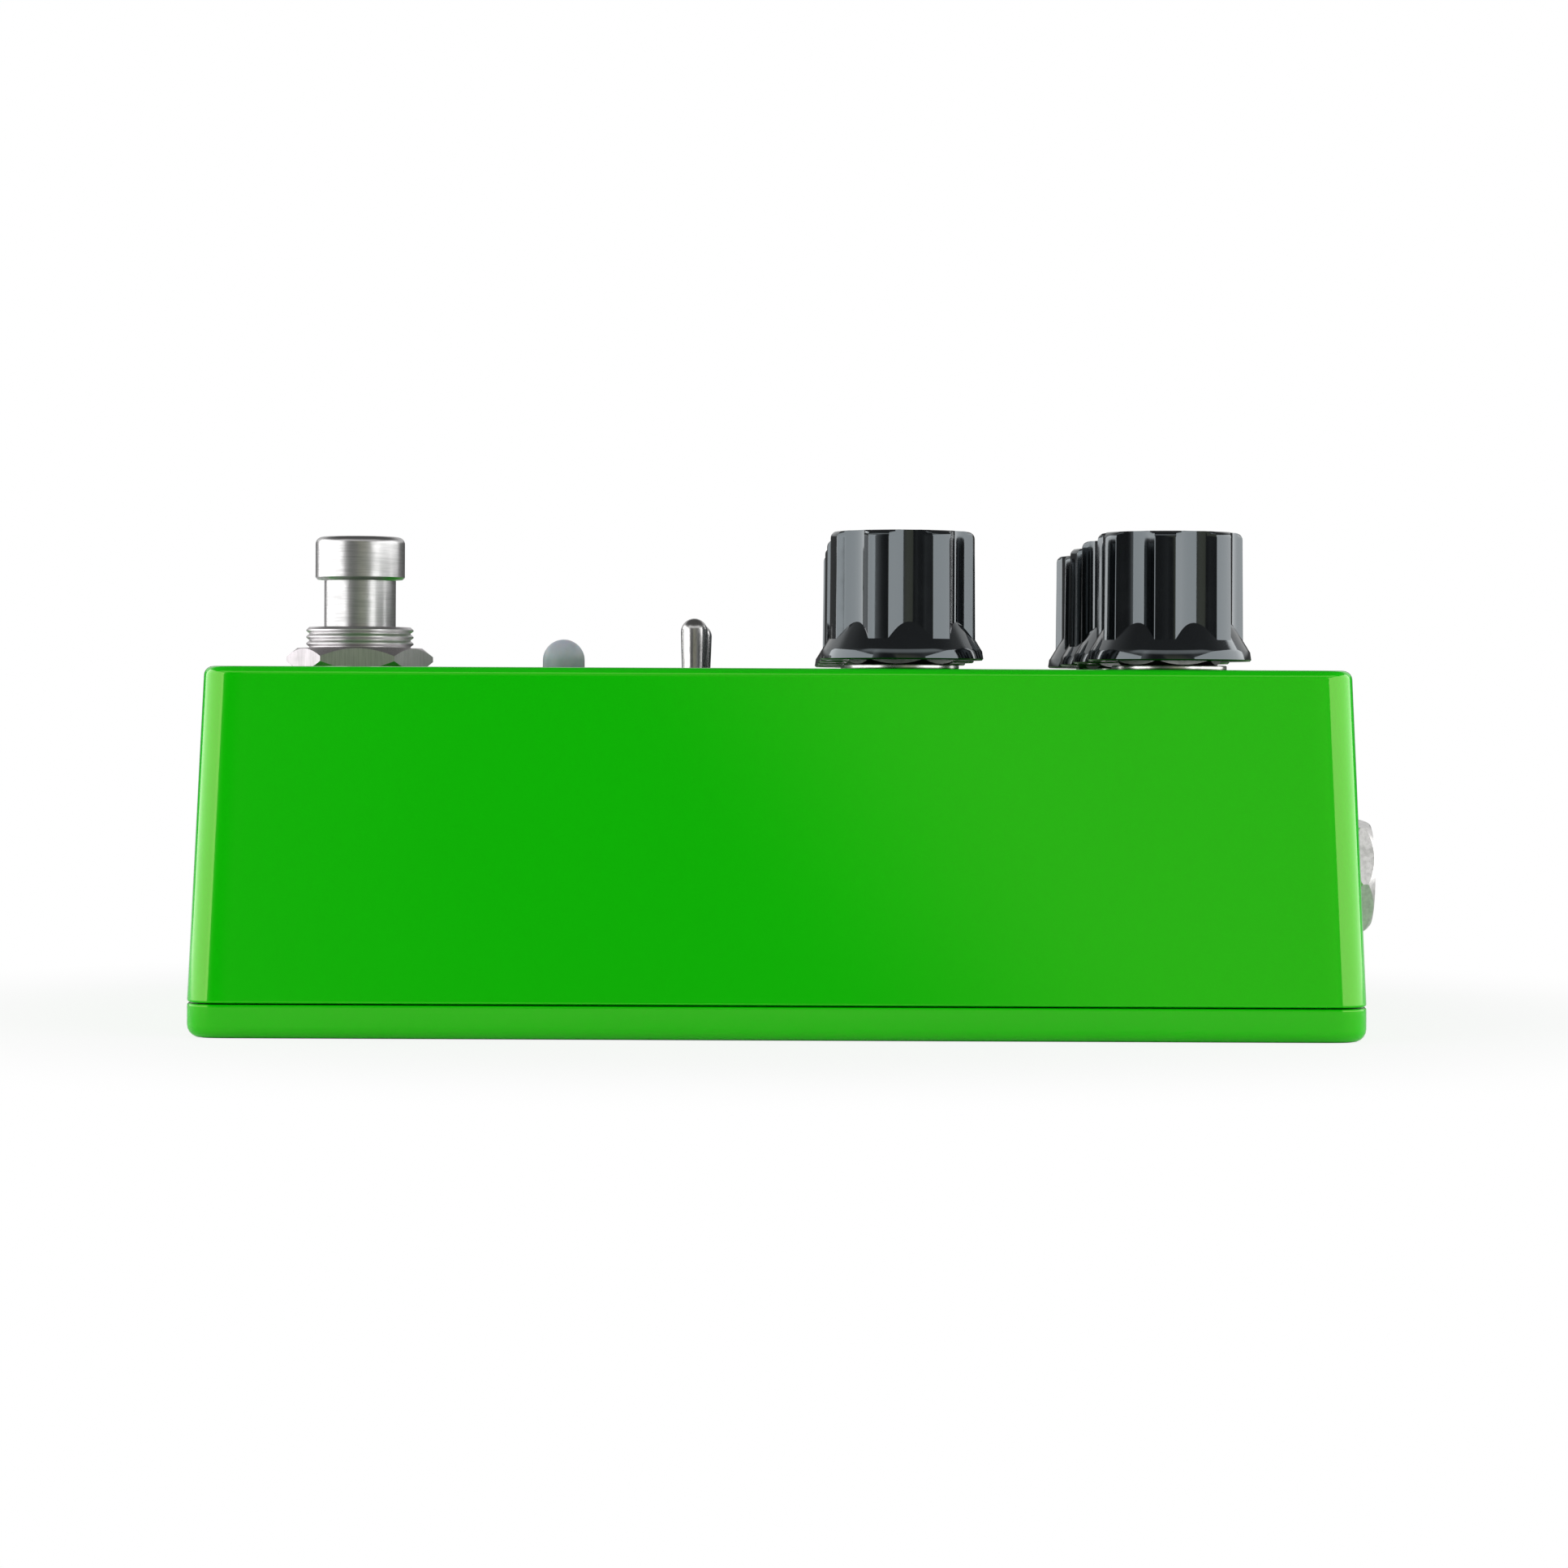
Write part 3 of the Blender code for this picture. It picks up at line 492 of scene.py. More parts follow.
class Shape:
    """One mesh object on the bench, shaped by edit-mode operators."""

    def __init__(self, name: str) -> None:
        """Take the primitive that was just added."""
        self.item = bpy.context.object
        self.item.name = name
        self.item.data.name = name

    @staticmethod
    def clear_bench() -> None:
        """Leave edit mode and select nothing."""
        if bpy.context.object and bpy.context.object.mode != "OBJECT":
            bpy.ops.object.mode_set(mode="OBJECT")
        bpy.ops.object.select_all(action="DESELECT")

    @classmethod
    def rod(
        cls, name: str, radius: float, low: float, high: float,
        centre: Sequence[float] = (0.0, 0.0), sides: int = 64, turn: float = 0.0,
    ) -> "Shape":
        """A cylinder along Z.

        Args:
            name: The piece's name.
            radius: Its radius.
            low: Its lowest height.
            high: Its highest height.
            centre: The axis's X and Y.
            sides: How many sides it has.
            turn: The first corner's angle from +X.

        Returns:
            The shape.
        """
        cls.clear_bench()
        bpy.ops.mesh.primitive_cylinder_add(
            vertices=sides, radius=radius, depth=high - low,
            location=(centre[0], centre[1], (low + high) / 2),
        )
        first_corner = math.pi / 2
        return cls(name).settle().turn(turn - first_corner, (centre[0], centre[1], 0.0))

    @classmethod
    def box(cls, name: str, low: Sequence[float], high: Sequence[float]) -> "Shape":
        """A box.

        Args:
            name: The piece's name.
            low: Its lowest corner.
            high: Its highest corner.

        Returns:
            The shape.
        """
        cls.clear_bench()
        middle = [(a + b) / 2 for a, b in zip(low, high)]
        bpy.ops.mesh.primitive_cube_add(size=1.0, location=middle)
        bpy.context.object.scale = [b - a for a, b in zip(low, high)]
        return cls(name).settle()

    @classmethod
    def turned(
        cls, name: str, outline: Sequence[Point], steps: int = 72, closed: bool = False
    ) -> "Shape":
        """A solid spun about Z.

        Args:
            name: The piece's name.
            outline: Its section, as (radius, height).
            steps: How many steps the spin takes.
            closed: True if the section is a ring that stays clear of the axis.

        Returns:
            The shape.
        """
        cls.clear_bench()
        bpy.ops.mesh.primitive_circle_add(vertices=len(outline), radius=1.0)
        made = cls(name)
        mesh = made.item.data
        for vert, (radius, height) in zip(mesh.vertices, outline):
            vert.co = (radius, 0.0, height)
        if not closed:
            ends = {0, len(outline) - 1}
            made._pick("EDGE", mesh.edges, lambda edge: set(edge.vertices) == ends)
            bpy.ops.mesh.delete(type="EDGE_FACE")
        bpy.ops.object.mode_set(mode="EDIT")
        bpy.ops.mesh.select_all(action="SELECT")
        bpy.ops.mesh.spin(
            steps=steps, angle=2 * math.pi, center=(0.0, 0.0, 0.0), axis=(0.0, 0.0, 1.0)
        )
        return made.heal()

    @classmethod
    def prism(cls, name: str, outline: Sequence[Point], low: float, high: float) -> "Shape":
        """An upright prism.

        Args:
            name: The piece's name.
            outline: Its outline in X and Y.
            low: Its lowest height.
            high: Its highest height.

        Returns:
            The shape.
        """
        cls.clear_bench()
        bpy.ops.mesh.primitive_circle_add(vertices=len(outline), radius=1.0, fill_type="NGON")
        made = cls(name)
        for vert, (x, y) in zip(made.item.data.vertices, outline):
            vert.co = (x, y, low)
        bpy.ops.object.mode_set(mode="EDIT")
        bpy.ops.mesh.select_all(action="SELECT")
        bpy.ops.mesh.extrude_region_move(TRANSFORM_OT_translate={"value": (0.0, 0.0, high - low)})
        return made.heal()

    def pick_up(self) -> None:
        """Make this the one object that operators act on."""
        self.clear_bench()
        self.item.select_set(True)
        bpy.context.view_layer.objects.active = self.item

    def discard(self) -> None:
        """Take a used-up shape off the bench."""
        bpy.data.objects.remove(self.item, do_unlink=True)

    def join(self, other: "Shape") -> "Shape":
        """Take another closed shell into the same mesh."""
        self.clear_bench()
        other.item.select_set(True)
        self.item.select_set(True)
        bpy.context.view_layer.objects.active = self.item
        bpy.ops.object.join()
        return self

    def heal(self) -> "Shape":
        """Merge doubled points and turn every face outwards."""
        bpy.context.view_layer.objects.active = self.item
        bpy.ops.object.mode_set(mode="EDIT")
        bpy.ops.mesh.select_all(action="SELECT")
        bpy.ops.mesh.remove_doubles(threshold=0.0005 * MM)
        bpy.ops.mesh.normals_make_consistent(inside=False)
        bpy.ops.object.mode_set(mode="OBJECT")
        return self

    def settle(self) -> "Shape":
        """Take the object's place and size into its mesh."""
        self.pick_up()
        bpy.ops.object.transform_apply(location=True, rotation=True, scale=True)
        return self

    def turn(
        self, angle: float, about: Sequence[float] = (0.0, 0.0, 0.0), axis: str = "Z"
    ) -> "Shape":
        """Turn the mesh.

        Args:
            angle: How far, in radians.
            about: A point on the axis.
            axis: The axis's direction, X, Y or Z.

        Returns:
            The shape.
        """
        spin = Matrix.Rotation(angle, 4, axis)
        there = Matrix.Translation(about)
        self.item.data.transform(there @ spin @ there.inverted())
        return self

    def move(self, by: Sequence[float]) -> "Shape":
        """Move the mesh."""
        self.item.data.transform(Matrix.Translation(by))
        return self

    def face_rear(self, x: float, y: float, z: float) -> "Shape":
        """Lay a shape that stands on the origin along +Y, with its foot at a point."""
        return self.turn(-math.pi / 2, axis="X").move((x, y, z))

    def copy(self, name: str) -> "Shape":
        """A copy with its own mesh."""
        self.pick_up()
        bpy.ops.object.duplicate(linked=False)
        return Shape(name)

    def pick_faces(self, test: Callable[[Vector, Vector], bool]) -> None:
        """Select the faces whose centre and normal pass a test, and stay in edit mode."""
        self._pick("FACE", self.item.data.polygons, lambda f: test(f.center, f.normal))

    def pick_edges(self, test: Callable[[Vector, Vector], bool]) -> None:
        """Select the edges whose two ends pass a test, and stay in edit mode."""
        points = self.item.data.vertices
        self._pick(
            "EDGE", self.item.data.edges,
            lambda e: test(points[e.vertices[0]].co, points[e.vertices[1]].co),
        )

    def _pick(self, mode: str, elements: Iterable, test: Callable[[object], bool]) -> None:
        """Select elements, and stay in edit mode.

        Args:
            mode: Their kind, as a selection mode.
            elements: The mesh's elements of that kind.
            test: Tells whether one is selected.
        """
        bpy.context.view_layer.objects.active = self.item
        bpy.ops.object.mode_set(mode="EDIT")
        bpy.ops.mesh.select_mode(type=mode)
        bpy.ops.mesh.select_all(action="DESELECT")
        bpy.ops.object.mode_set(mode="OBJECT")
        for element in elements:
            element.select = bool(test(element))
        bpy.ops.object.mode_set(mode="EDIT")

    def round_edges(
        self, test: Callable[[Vector, Vector], bool], radius: float, segments: int,
        profile: float = 0.5,
    ) -> "Shape":
        """Bevel the edges that pass a test.

        Args:
            test: Tells from an edge's two ends whether it is rounded.
            radius: The rounding's radius.
            segments: How many faces it has.
            profile: 0.5 for a circle, and more for a squarer rounding.

        Returns:
            The shape.
        """
        self.pick_edges(test)
        bpy.ops.mesh.bevel(
            offset=radius, offset_type="OFFSET", segments=segments, profile=profile
        )
        bpy.ops.object.mode_set(mode="OBJECT")
        return self

    def sized(
        self, test: Callable[[Vector, Vector], bool], scale: Place, centre: Sequence[float]
    ) -> "Shape":
        """Scale some faces.

        Args:
            test: Tells from a face's centre and normal whether it is scaled.
            scale: The factor along each axis.
            centre: The point that stays where it is.

        Returns:
            The shape.
        """
        self.pick_faces(test)
        bpy.ops.transform.resize(value=scale, center_override=tuple(centre))
        bpy.ops.object.mode_set(mode="OBJECT")
        return self

    def apply(self, kind: str, **settings: object) -> "Shape":
        """Add a modifier and apply it.

        Args:
            kind: The modifier's type.
            settings: Its properties.

        Returns:
            The shape.
        """
        self.pick_up()
        step = self.item.modifiers.new(kind.lower(), kind)
        for name, value in settings.items():
            setattr(step, name, value)
        bpy.ops.object.modifier_apply(modifier=step.name)
        return self

    def _join(self, others: Iterable["Shape"], operation: str) -> "Shape":
        """Combine with other shapes, which are used up."""
        for other in others:
            self.apply("BOOLEAN", object=other.item, operation=operation, solver="EXACT")
            other.discard()
        return self

    def cut(self, *others: "Shape") -> "Shape":
        """Take other shapes away."""
        return self._join(others, "DIFFERENCE")

    def add(self, *others: "Shape") -> "Shape":
        """Fuse with other shapes."""
        return self._join(others, "UNION")

    def keep_inside(self, *others: "Shape") -> "Shape":
        """Keep only what lies inside other shapes."""
        return self._join(others, "INTERSECT")

    def soften(
        self, width: float, segments: int = 2, angle: float = 30.0, clamp: bool = True
    ) -> "Shape":
        """Round every sharp edge a little."""
        return self.apply(
            "BEVEL", width=width, segments=segments, limit_method="ANGLE",
            angle_limit=math.radians(angle), use_clamp_overlap=clamp,
        )

    def smooth(self, angle: float = 35.0) -> "Shape":
        """Shade smooth up to an angle, weighted towards the large faces."""
        self.pick_up()
        bpy.ops.object.shade_smooth_by_angle(angle=math.radians(angle))
        return self.apply("WEIGHTED_NORMAL", keep_sharp=True, weight=80)

    def dress(self, finish: Finish, body: str, *nodes: str) -> bpy.types.Object:
        """Finish the piece: material, body and the nodes it stands for.

        Args:
            finish: What it is made of.
            body: The body it rides on.
            nodes: The frame nodes it replaces.

        Returns:
            The piece's object.
        """
        self.item.data.materials.clear()
        self.item.data.materials.append(finish.material())
        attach(self.item, body)
        if nodes:
            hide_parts(*nodes)
        LOG.info("%s on %s", self.item.name, body)
        return self.item


def arc(centre: Point, radius: float, start: float, end: float, steps: int) -> list[Point]:
    """Points along an arc.

    Args:
        centre: Its centre.
        radius: Its radius.
        start: The first point's angle, in degrees from the first axis.
        end: The last point's angle.
        steps: How many steps lie between them.

    Returns:
        The points.
    """
    angles = (math.radians(start + (end - start) * step / steps) for step in range(steps + 1))
    return [(centre[0] + radius * math.cos(a), centre[1] + radius * math.sin(a)) for a in angles]


# ---------------------------------------------------------------- casting and lid


@dataclass
class Casting:
    """The die-cast box and its lid, painted alike."""

    corner: float = 5.5 * MM
    corner_steps: int = 18
    corner_profile: float = 0.65
    top_edge: float = 0.9 * MM
    seam_edge: float = 0.25 * MM
    lid_edge: float = 1.3 * MM
    draft: float = 1.45 * MM
    wall: float = 2.3 * MM
    seam_gap: float = 0.12 * MM
    lip_height: float = 1.2 * MM
    lip_wall: float = 1.6 * MM
    clearance: float = 0.3 * MM
    post_radius: float = 3.2 * MM
    screw_inset: float = 5.3 * MM

    def __post_init__(self) -> None:
        """Read the box's size from the frame."""
        self.low, self.high = (Vector(v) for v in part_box("enclosure_body"))
        self.lid_low, self.lid_high = (Vector(v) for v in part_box("base_lid"))
        self.seam = self.lid_high.z

    def shell(self, name: str, low: Vector, high: Vector, inset: float, corner: float) -> Shape:
        """A drafted block with rounded upright edges.

        Args:
            name: The piece's name.
            low: Its lowest corner.
            high: Its highest corner.
            inset: How far each side of its top stands in.
            corner: The radius of its upright edges.

        Returns:
            The shape.
        """
        block = Shape.box(name, low, high)
        width, length = high.x - low.x, high.y - low.y
        scale = (1 - 2 * inset / width, 1 - 2 * inset / length, 1.0)
        middle = (low + high) / 2
        block.sized(lambda c, n: n.z > 0.9, scale, (middle.x, middle.y, high.z))
        block.round_edges(
            lambda a, b: abs(a.z - b.z) > MM, corner, self.corner_steps, self.corner_profile
        )
        return block

    def rim(self, shape: Shape, height: float, radius: float, segments: int) -> Shape:
        """Round the edges that lie at one height."""
        near = 0.01 * MM
        return shape.round_edges(
            lambda a, b: abs(a.z - height) < near and abs(b.z - height) < near, radius, segments
        )

    def holes(self) -> Iterator[Shape]:
        """Every hole in the panel and in the rear wall."""
        above = self.high.z + MM
        below = self.high.z - self.wall - MM
        for name in frame["nodes"]:
            radius = 0.0
            if name.startswith("pot_body"):
                radius = Potentiometers.bushing_radius
            elif name == "footswitch_bushing":
                radius = Footswitch.thread_radius
            elif name == "indicator_led":
                radius = Indicator.radius
            elif name.startswith("toggle_body"):
                radius = Toggles.bushing_radius
            if radius:
                spot = centre_of(name)
                yield Shape.rod("hole", radius + self.clearance, below, above, spot)
        inner = self.high.y - self.wall - 3 * MM
        for name in ("jack_nut_left", "jack_nut_right", "power_socket"):
            radius = PowerSocket.body_radius if name == "power_socket" else Jacks.bushing_radius
            spot = centre_of(name)
            hole = Shape.rod("hole", radius + self.clearance, 0.0, self.high.y + MM - inner)
            yield hole.face_rear(spot.x, inner, spot.z)

    def body(self) -> None:
        """The box: shell, cavity, screw posts and holes."""
        low = Vector((self.low.x, self.low.y, self.seam + self.seam_gap))
        box = self.shell("enclosure_shell", low, self.high, self.draft, self.corner)
        self.rim(box, self.high.z, self.top_edge, 5)
        self.rim(box, low.z, self.seam_edge, 3)
        step = Vector((self.wall, self.wall, 0.0))
        cavity = self.shell(
            "cavity", low + step - Vector((0, 0, MM)),
            self.high - step - Vector((0, 0, self.wall)), self.draft, self.corner - self.wall,
        )
        box.cut(cavity)
        for x, y in self.screw_places():
            post = Shape.rod("post", self.post_radius, low.z + 0.4 * MM, self.high.z - MM, (x, y))
            box.add(post)
            box.cut(Shape.rod("tap", Screws.radius, low.z, low.z + 10 * MM, (x, y), 32))
        box.cut(*self.holes())
        box.smooth(28.0).dress(GREEN, ROOT, "enclosure_body")

    def screw_places(self) -> list[Point]:
        """Where the four lid screws stand."""
        x = self.high.x - self.screw_inset
        y = self.high.y - self.screw_inset
        return [(sx * x, sy * y) for sx in (-1, 1) for sy in (-1, 1)]

    def lid(self) -> None:
        """The lid: rounded plate, pocket and countersunk holes."""
        low, high = self.lid_low, self.lid_high
        plate = self.shell("lid_plate", low, high, 0.0, self.corner)
        self.rim(plate, low.z, self.lid_edge, 5)
        self.rim(plate, high.z, self.seam_edge, 3)
        edge = self.wall + self.post_radius + 4 * MM
        step = Vector((edge, edge, 0.0))
        floor = Vector((0, 0, 1.3 * MM))
        pocket = self.shell("pocket", low + step, high - step, 0.0, 3 * MM)
        pocket.move(Vector((0, 0, high.z - low.z)) - floor)
        plate.cut(pocket)
        for x, y in self.screw_places():
            plate.cut(Screws.countersink((x, y), high.z))
        plate.smooth(28.0).dress(GREEN, ROOT, "base_lid")

    def build(self) -> None:
        """Model and dress both castings."""
        self.body()
        self.lid()


@dataclass
class Screws:
    """Countersunk lid screws with cross recesses."""

    radius = 1.75 * MM
    head_radius = 3.15 * MM
    recess = 0.25 * MM
    pitch: float = 0.8 * MM
    thread_depth: float = 0.2 * MM
    slot_width: float = 0.9 * MM
    slot_reach: float = 1.9 * MM
    slot_depth: float = 1.1 * MM

    @classmethod
    def countersink(cls, centre: Point, top: float) -> Shape:
        """The hole that one screw takes in the lid."""
        hole = cls.radius + 0.3 * MM
        mouth = cls.head_radius + cls.recess + 0.15 * MM
        outline = [
            (0.0, top + MM), (hole, top + MM), (hole, mouth - hole), (mouth, 0.0),
            (mouth, -MM), (0.0, -MM),
        ]
        return Shape.turned("sink", outline, 40).move((*centre, 0.0))

    def pattern(self, length: float) -> Shape:
        """One screw standing on its head at z = 0."""
        outline = [(0.0, self.recess), (self.head_radius - 0.1 * MM, self.recess)]
        outline.append((self.head_radius, self.recess + 0.1 * MM))
        cone = self.head_radius - self.radius
        height = self.recess + 0.1 * MM + cone
        while height < length - self.pitch:
            outline.append((self.radius, height))
            outline.append((self.radius - self.thread_depth, height + self.pitch / 2))
            height += self.pitch
        outline += [(self.radius - 0.5 * MM, length), (0.0, length)]
        screw = Shape.turned("screw", outline, 32)
        for angle in (0.0, math.pi / 2):
            size = Vector((self.slot_reach, self.slot_width / 2, self.slot_depth))
            slot = Shape.box("slot", -size, (size.x, size.y, self.recess + size.z))
            screw.cut(slot.turn(angle))
        return screw

    def build(self) -> None:
        """Model one screw and place a copy at each corner."""
        corners = ("front_left", "front_right", "rear_left", "rear_right")
        _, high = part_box("lid_screw_front_left")
        pattern = self.pattern(high[2])
        for number, corner in enumerate(corners):
            node = "lid_screw_" + corner
            spot = centre_of(node)
            screw = pattern.copy("fine_" + node)
            screw.turn(math.radians(20 + 55 * number)).move((spot.x, spot.y, 0.0))
            screw.smooth().dress(SCREW_STEEL, ROOT, node)
        pattern.discard()


# ---------------------------------------------------------------- knobs and potentiometers


def hex_nut(
    name: str, flats: float, height: float, hole: float, turn: float, chamfer: float = 0.6 * MM
) -> Shape:
    """A hexagon nut on z = 0, with both ends chamfered and its hole countersunk.

    Args:
        name: The piece's name.
        flats: The width across its flats.
        height: Its height.
        hole: Its hole's radius.
        turn: The angle of one corner from +X.
        chamfer: How far each end's corners are taken down.

    Returns:
        The shape.
    """
    nut = Shape.rod(name, flats / math.sqrt(3), 0.0, height, sides=6, turn=turn)
    reach = flats / math.sqrt(3) + 0.05 * MM
    face = flats / 2 - 0.1 * MM
    blank = Shape.turned("blank", [
        (0.0, height + 0.001 * MM), (face, height + 0.001 * MM), (reach, height - chamfer),
        (reach, chamfer), (face, -0.001 * MM), (0.0, -0.001 * MM),
    ], 96)
    nut.keep_inside(blank)
    flare = 0.35 * MM
    nut.cut(Shape.turned("hole", [
        (0.0, height + MM), (hole + flare + MM, height + MM), (hole, height - flare),
        (hole, flare), (hole + flare + MM, -MM), (0.0, -MM),
    ], 64))
    return nut


@dataclass
class Knobs:
    """Fluted skirted knobs, each with a pointer line on one lobe."""

    radius: float = 7.7 * MM
    taper: float = 0.1 * MM
    skirt_radius: float = 8.55 * MM
    rim: float = 1.1 * MM
    shoulder: float = 2.4 * MM
    cone_top: float = 5.6 * MM
    cone_top_radius: float = 5.6 * MM
    flutes: int = 7
    flute_depth: float = 1.08 * MM
    flute_share: float = 0.69
    flute_slope: float = 25.0
    hollow_radius: float = 6.2 * MM
    hollow_depth: float = 3.2 * MM
    bore_radius: float = 3.25 * MM
    bore_depth: float = 11.9 * MM
    ridge: float = 0.25 * MM
    gap: float = 0.1 * MM
    top_edge: float = 0.7 * MM
    dish_radius: float = 5.6 * MM
    dish_depth: float = 0.3 * MM
    line_width: float = 0.9 * MM
    line_proud: float = 0.03 * MM

    def section(self) -> list[Point]:
        """The grip's section, as (radius, angle) for each column of its spin.

        Each flute has straight sides that meet in a rounded bottom, and rounded ridges.
        """
        half = math.pi / self.flutes * self.flute_share
        slope = math.radians(self.flute_slope)
        rise = math.tan(slope)
        point = self.radius * (math.cos(half) - math.sin(half) * rise)
        bottom = self.radius - self.flute_depth
        bend = (bottom - point) / (1 / math.cos(slope) - 1)
        inner = point - self.ridge / math.cos(slope)
        reach = self.radius - self.ridge
        root = (inner * rise) ** 2 - (1 + rise ** 2) * (inner ** 2 - reach ** 2)
        y = (math.sqrt(root) - inner * rise) / (1 + rise ** 2)
        x = inner + y * rise
        end = math.degrees(math.atan2(y, x))
        outline = arc((bottom + bend, 0.0), bend, 180, 180 - self.flute_slope, 5)
        outline += arc((x, y), self.ridge, -self.flute_slope, end, 3)
        outline += arc((0.0, 0.0), self.radius, end, 180 / self.flutes, 3)[1:]
        polar = [(math.hypot(px, py), math.atan2(py, px)) for px, py in outline]
        pitch = 2 * math.pi / self.flutes
        period = polar + [(r, pitch - a) for r, a in polar[-2:0:-1]]
        return [(r, a + pitch * flute) for flute in range(self.flutes) for r, a in period]

    def grip(self, height: float) -> Shape:
        """The grip with its dish and bore: spun round, then its outer columns fluted."""
        bend = self.radius - self.taper - self.top_edge
        wall = self.hollow_radius + self.gap
        roof = self.hollow_depth + self.gap
        floor = height - self.dish_depth
        outline = [(0.0, self.bore_depth), (self.bore_radius, self.bore_depth)]
        outline += [(self.bore_radius, roof), (wall, roof)]
        outline += [(wall, self.rim / 2), (self.radius, self.rim / 2)]
        outline += arc((bend, height - self.top_edge), self.top_edge, 0, 90, 6)
        outline += [(self.dish_radius, height), (self.dish_radius - 0.25 * MM, floor)]
        outline.append((0.0, floor))
        section = self.section()
        grip = Shape.turned("grip", outline, len(section))
        step = 2 * math.pi / len(section)
        for vert in grip.item.data.vertices:
            reach = math.hypot(vert.co.x, vert.co.y)
            if reach > wall + self.gap:
                column = round(math.atan2(vert.co.y, vert.co.x) / step) % len(section)
                radius, angle = section[column]
                reach = min(reach, radius)
                vert.co.xy = (reach * math.cos(angle), reach * math.sin(angle))
        return grip

    def skirt(self) -> Shape:
        """The skirt: a short rim, a hollow under it, and a cone that runs up inside the flutes."""
        soft = 0.15 * MM
        lip = self.skirt_radius - 0.12 * MM
        neck = self.bore_radius + self.gap
        return Shape.turned("skirt", [
            (self.hollow_radius, 0.0), (self.skirt_radius - soft, 0.0), (self.skirt_radius, soft),
            (lip, self.rim - soft), (lip - soft, self.rim + 0.5 * soft),
            (self.cone_top_radius, self.cone_top), (neck, self.cone_top),
            (neck, self.hollow_depth), (self.hollow_radius, self.hollow_depth),
        ], self.flutes * 24, closed=True)

    def pattern(self, height: float) -> Shape:
        """One knob on z = 0, with a flute towards +X."""
        return self.grip(height).join(self.skirt())

    def pointer(self, height: float) -> Shape:
        """The pointer: a filled line down a lobe and in over the rounded top."""
        proud, edge = self.line_proud, self.top_edge
        bend = self.radius - self.taper - edge
        foot, tail = self.shoulder + 1.2 * MM, self.radius - 1.9 * MM
        outline = [(self.radius - 0.35 * MM, foot), (self.radius + proud, foot)]
        outline += arc((bend, height - edge), edge + proud, 0, 90, 6)
        outline += [(tail, height + proud), (tail, height - 0.2 * MM)]
        outline += [(bend, height - 0.5 * MM), (bend + 0.35 * MM, height - edge)]
        line = Shape.prism("line", outline, -self.line_width / 2, self.line_width / 2)
        return line.turn(math.pi / 2, axis="X")

    def build(self) -> None:
        """Model one knob and its pointer, and place a copy of each at every shaft."""
        low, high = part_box("knob_front_1")
        height = high[2] - low[2]
        pattern = self.pattern(height)
        line = self.pointer(height)
        lobe = math.pi / self.flutes
        for joint in frame["joints"]:
            node = joint["child"]
            if not node.startswith("knob_"):
                continue
            spot = Vector(joint["pos_m"])
            # A shaft turns 150 degrees each way from straight ahead, where +Y is.
            angle = math.radians(90 + 150 - joint["range_deg"][1])
            place = (spot.x, spot.y, low[2])
            knob = pattern.copy("fine_" + node)
            knob.turn(angle - lobe).move(place)
            knob.smooth(30.0).dress(BLACK, node, node)
            pointer = line.copy("pointer_" + node)
            pointer.turn(angle).move(place)
            pointer.smooth(30.0).dress(WHITE_LINE, node)
        pattern.discard()
        line.discard()


def thread(
    radius: float, depth: float, pitch: float, low: float, high: float
) -> list[Point]:
    """The outer edge of a threaded length, from its top down."""
    points = [(radius - depth, high)]
    height = high - 0.3 * MM
    while height > low + pitch:
        points.append((radius, height))
        points.append((radius, height - 0.18 * pitch))
        points.append((radius - depth, height - 0.5 * pitch))
        points.append((radius - depth, height - 0.62 * pitch))
        height -= pitch
    points.append((radius - depth, low))
    return points


@dataclass
class Potentiometers:
    """Potentiometer nuts and washers, and the radius of their bushings."""

    bushing_radius = 3.5 * MM
    nut_flats: float = 10.0 * MM
    washer_radius: float = 6.0 * MM
    washer_height: float = 0.5 * MM

    def build(self) -> None:
        """Place a washer and a nut on each potentiometer's bushing."""
        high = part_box("pot_nut_front_1")[1]
        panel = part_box("enclosure_body")[1][2]
        hole = self.bushing_radius + 0.12 * MM
        base = panel + 0.04 * MM + self.washer_height
        nut = hex_nut("nut", self.nut_flats, high[2] - base, hole, 0.0)
        ring = Shape.turned("washer", [
            (hole, 0.0), (self.washer_radius, 0.0), (self.washer_radius, self.washer_height),
            (hole, self.washer_height),
        ], 72, closed=True).soften(0.1 * MM, 2)
        for name in [n for n in frame["nodes"] if n.startswith("pot_nut_")]:
            spot = centre_of(name)
            turn = 0.7 * len(name) + 9.0 * spot.x / MM
            made = nut.copy("fine_" + name).turn(turn).move((spot.x, spot.y, base))
            # Painted shade: the nut under the knob gets a dark finish that stands in for the shadow
            # under the skirt.
            made.smooth().dress(PAINTED_SHADE_NUT, ROOT, name)
            washer = ring.copy("washer_" + name).move((spot.x, spot.y, panel + 0.04 * MM))
            washer.smooth().dress(NICKEL, ROOT)
        nut.discard()
        ring.discard()


# ---------------------------------------------------------------- footswitch


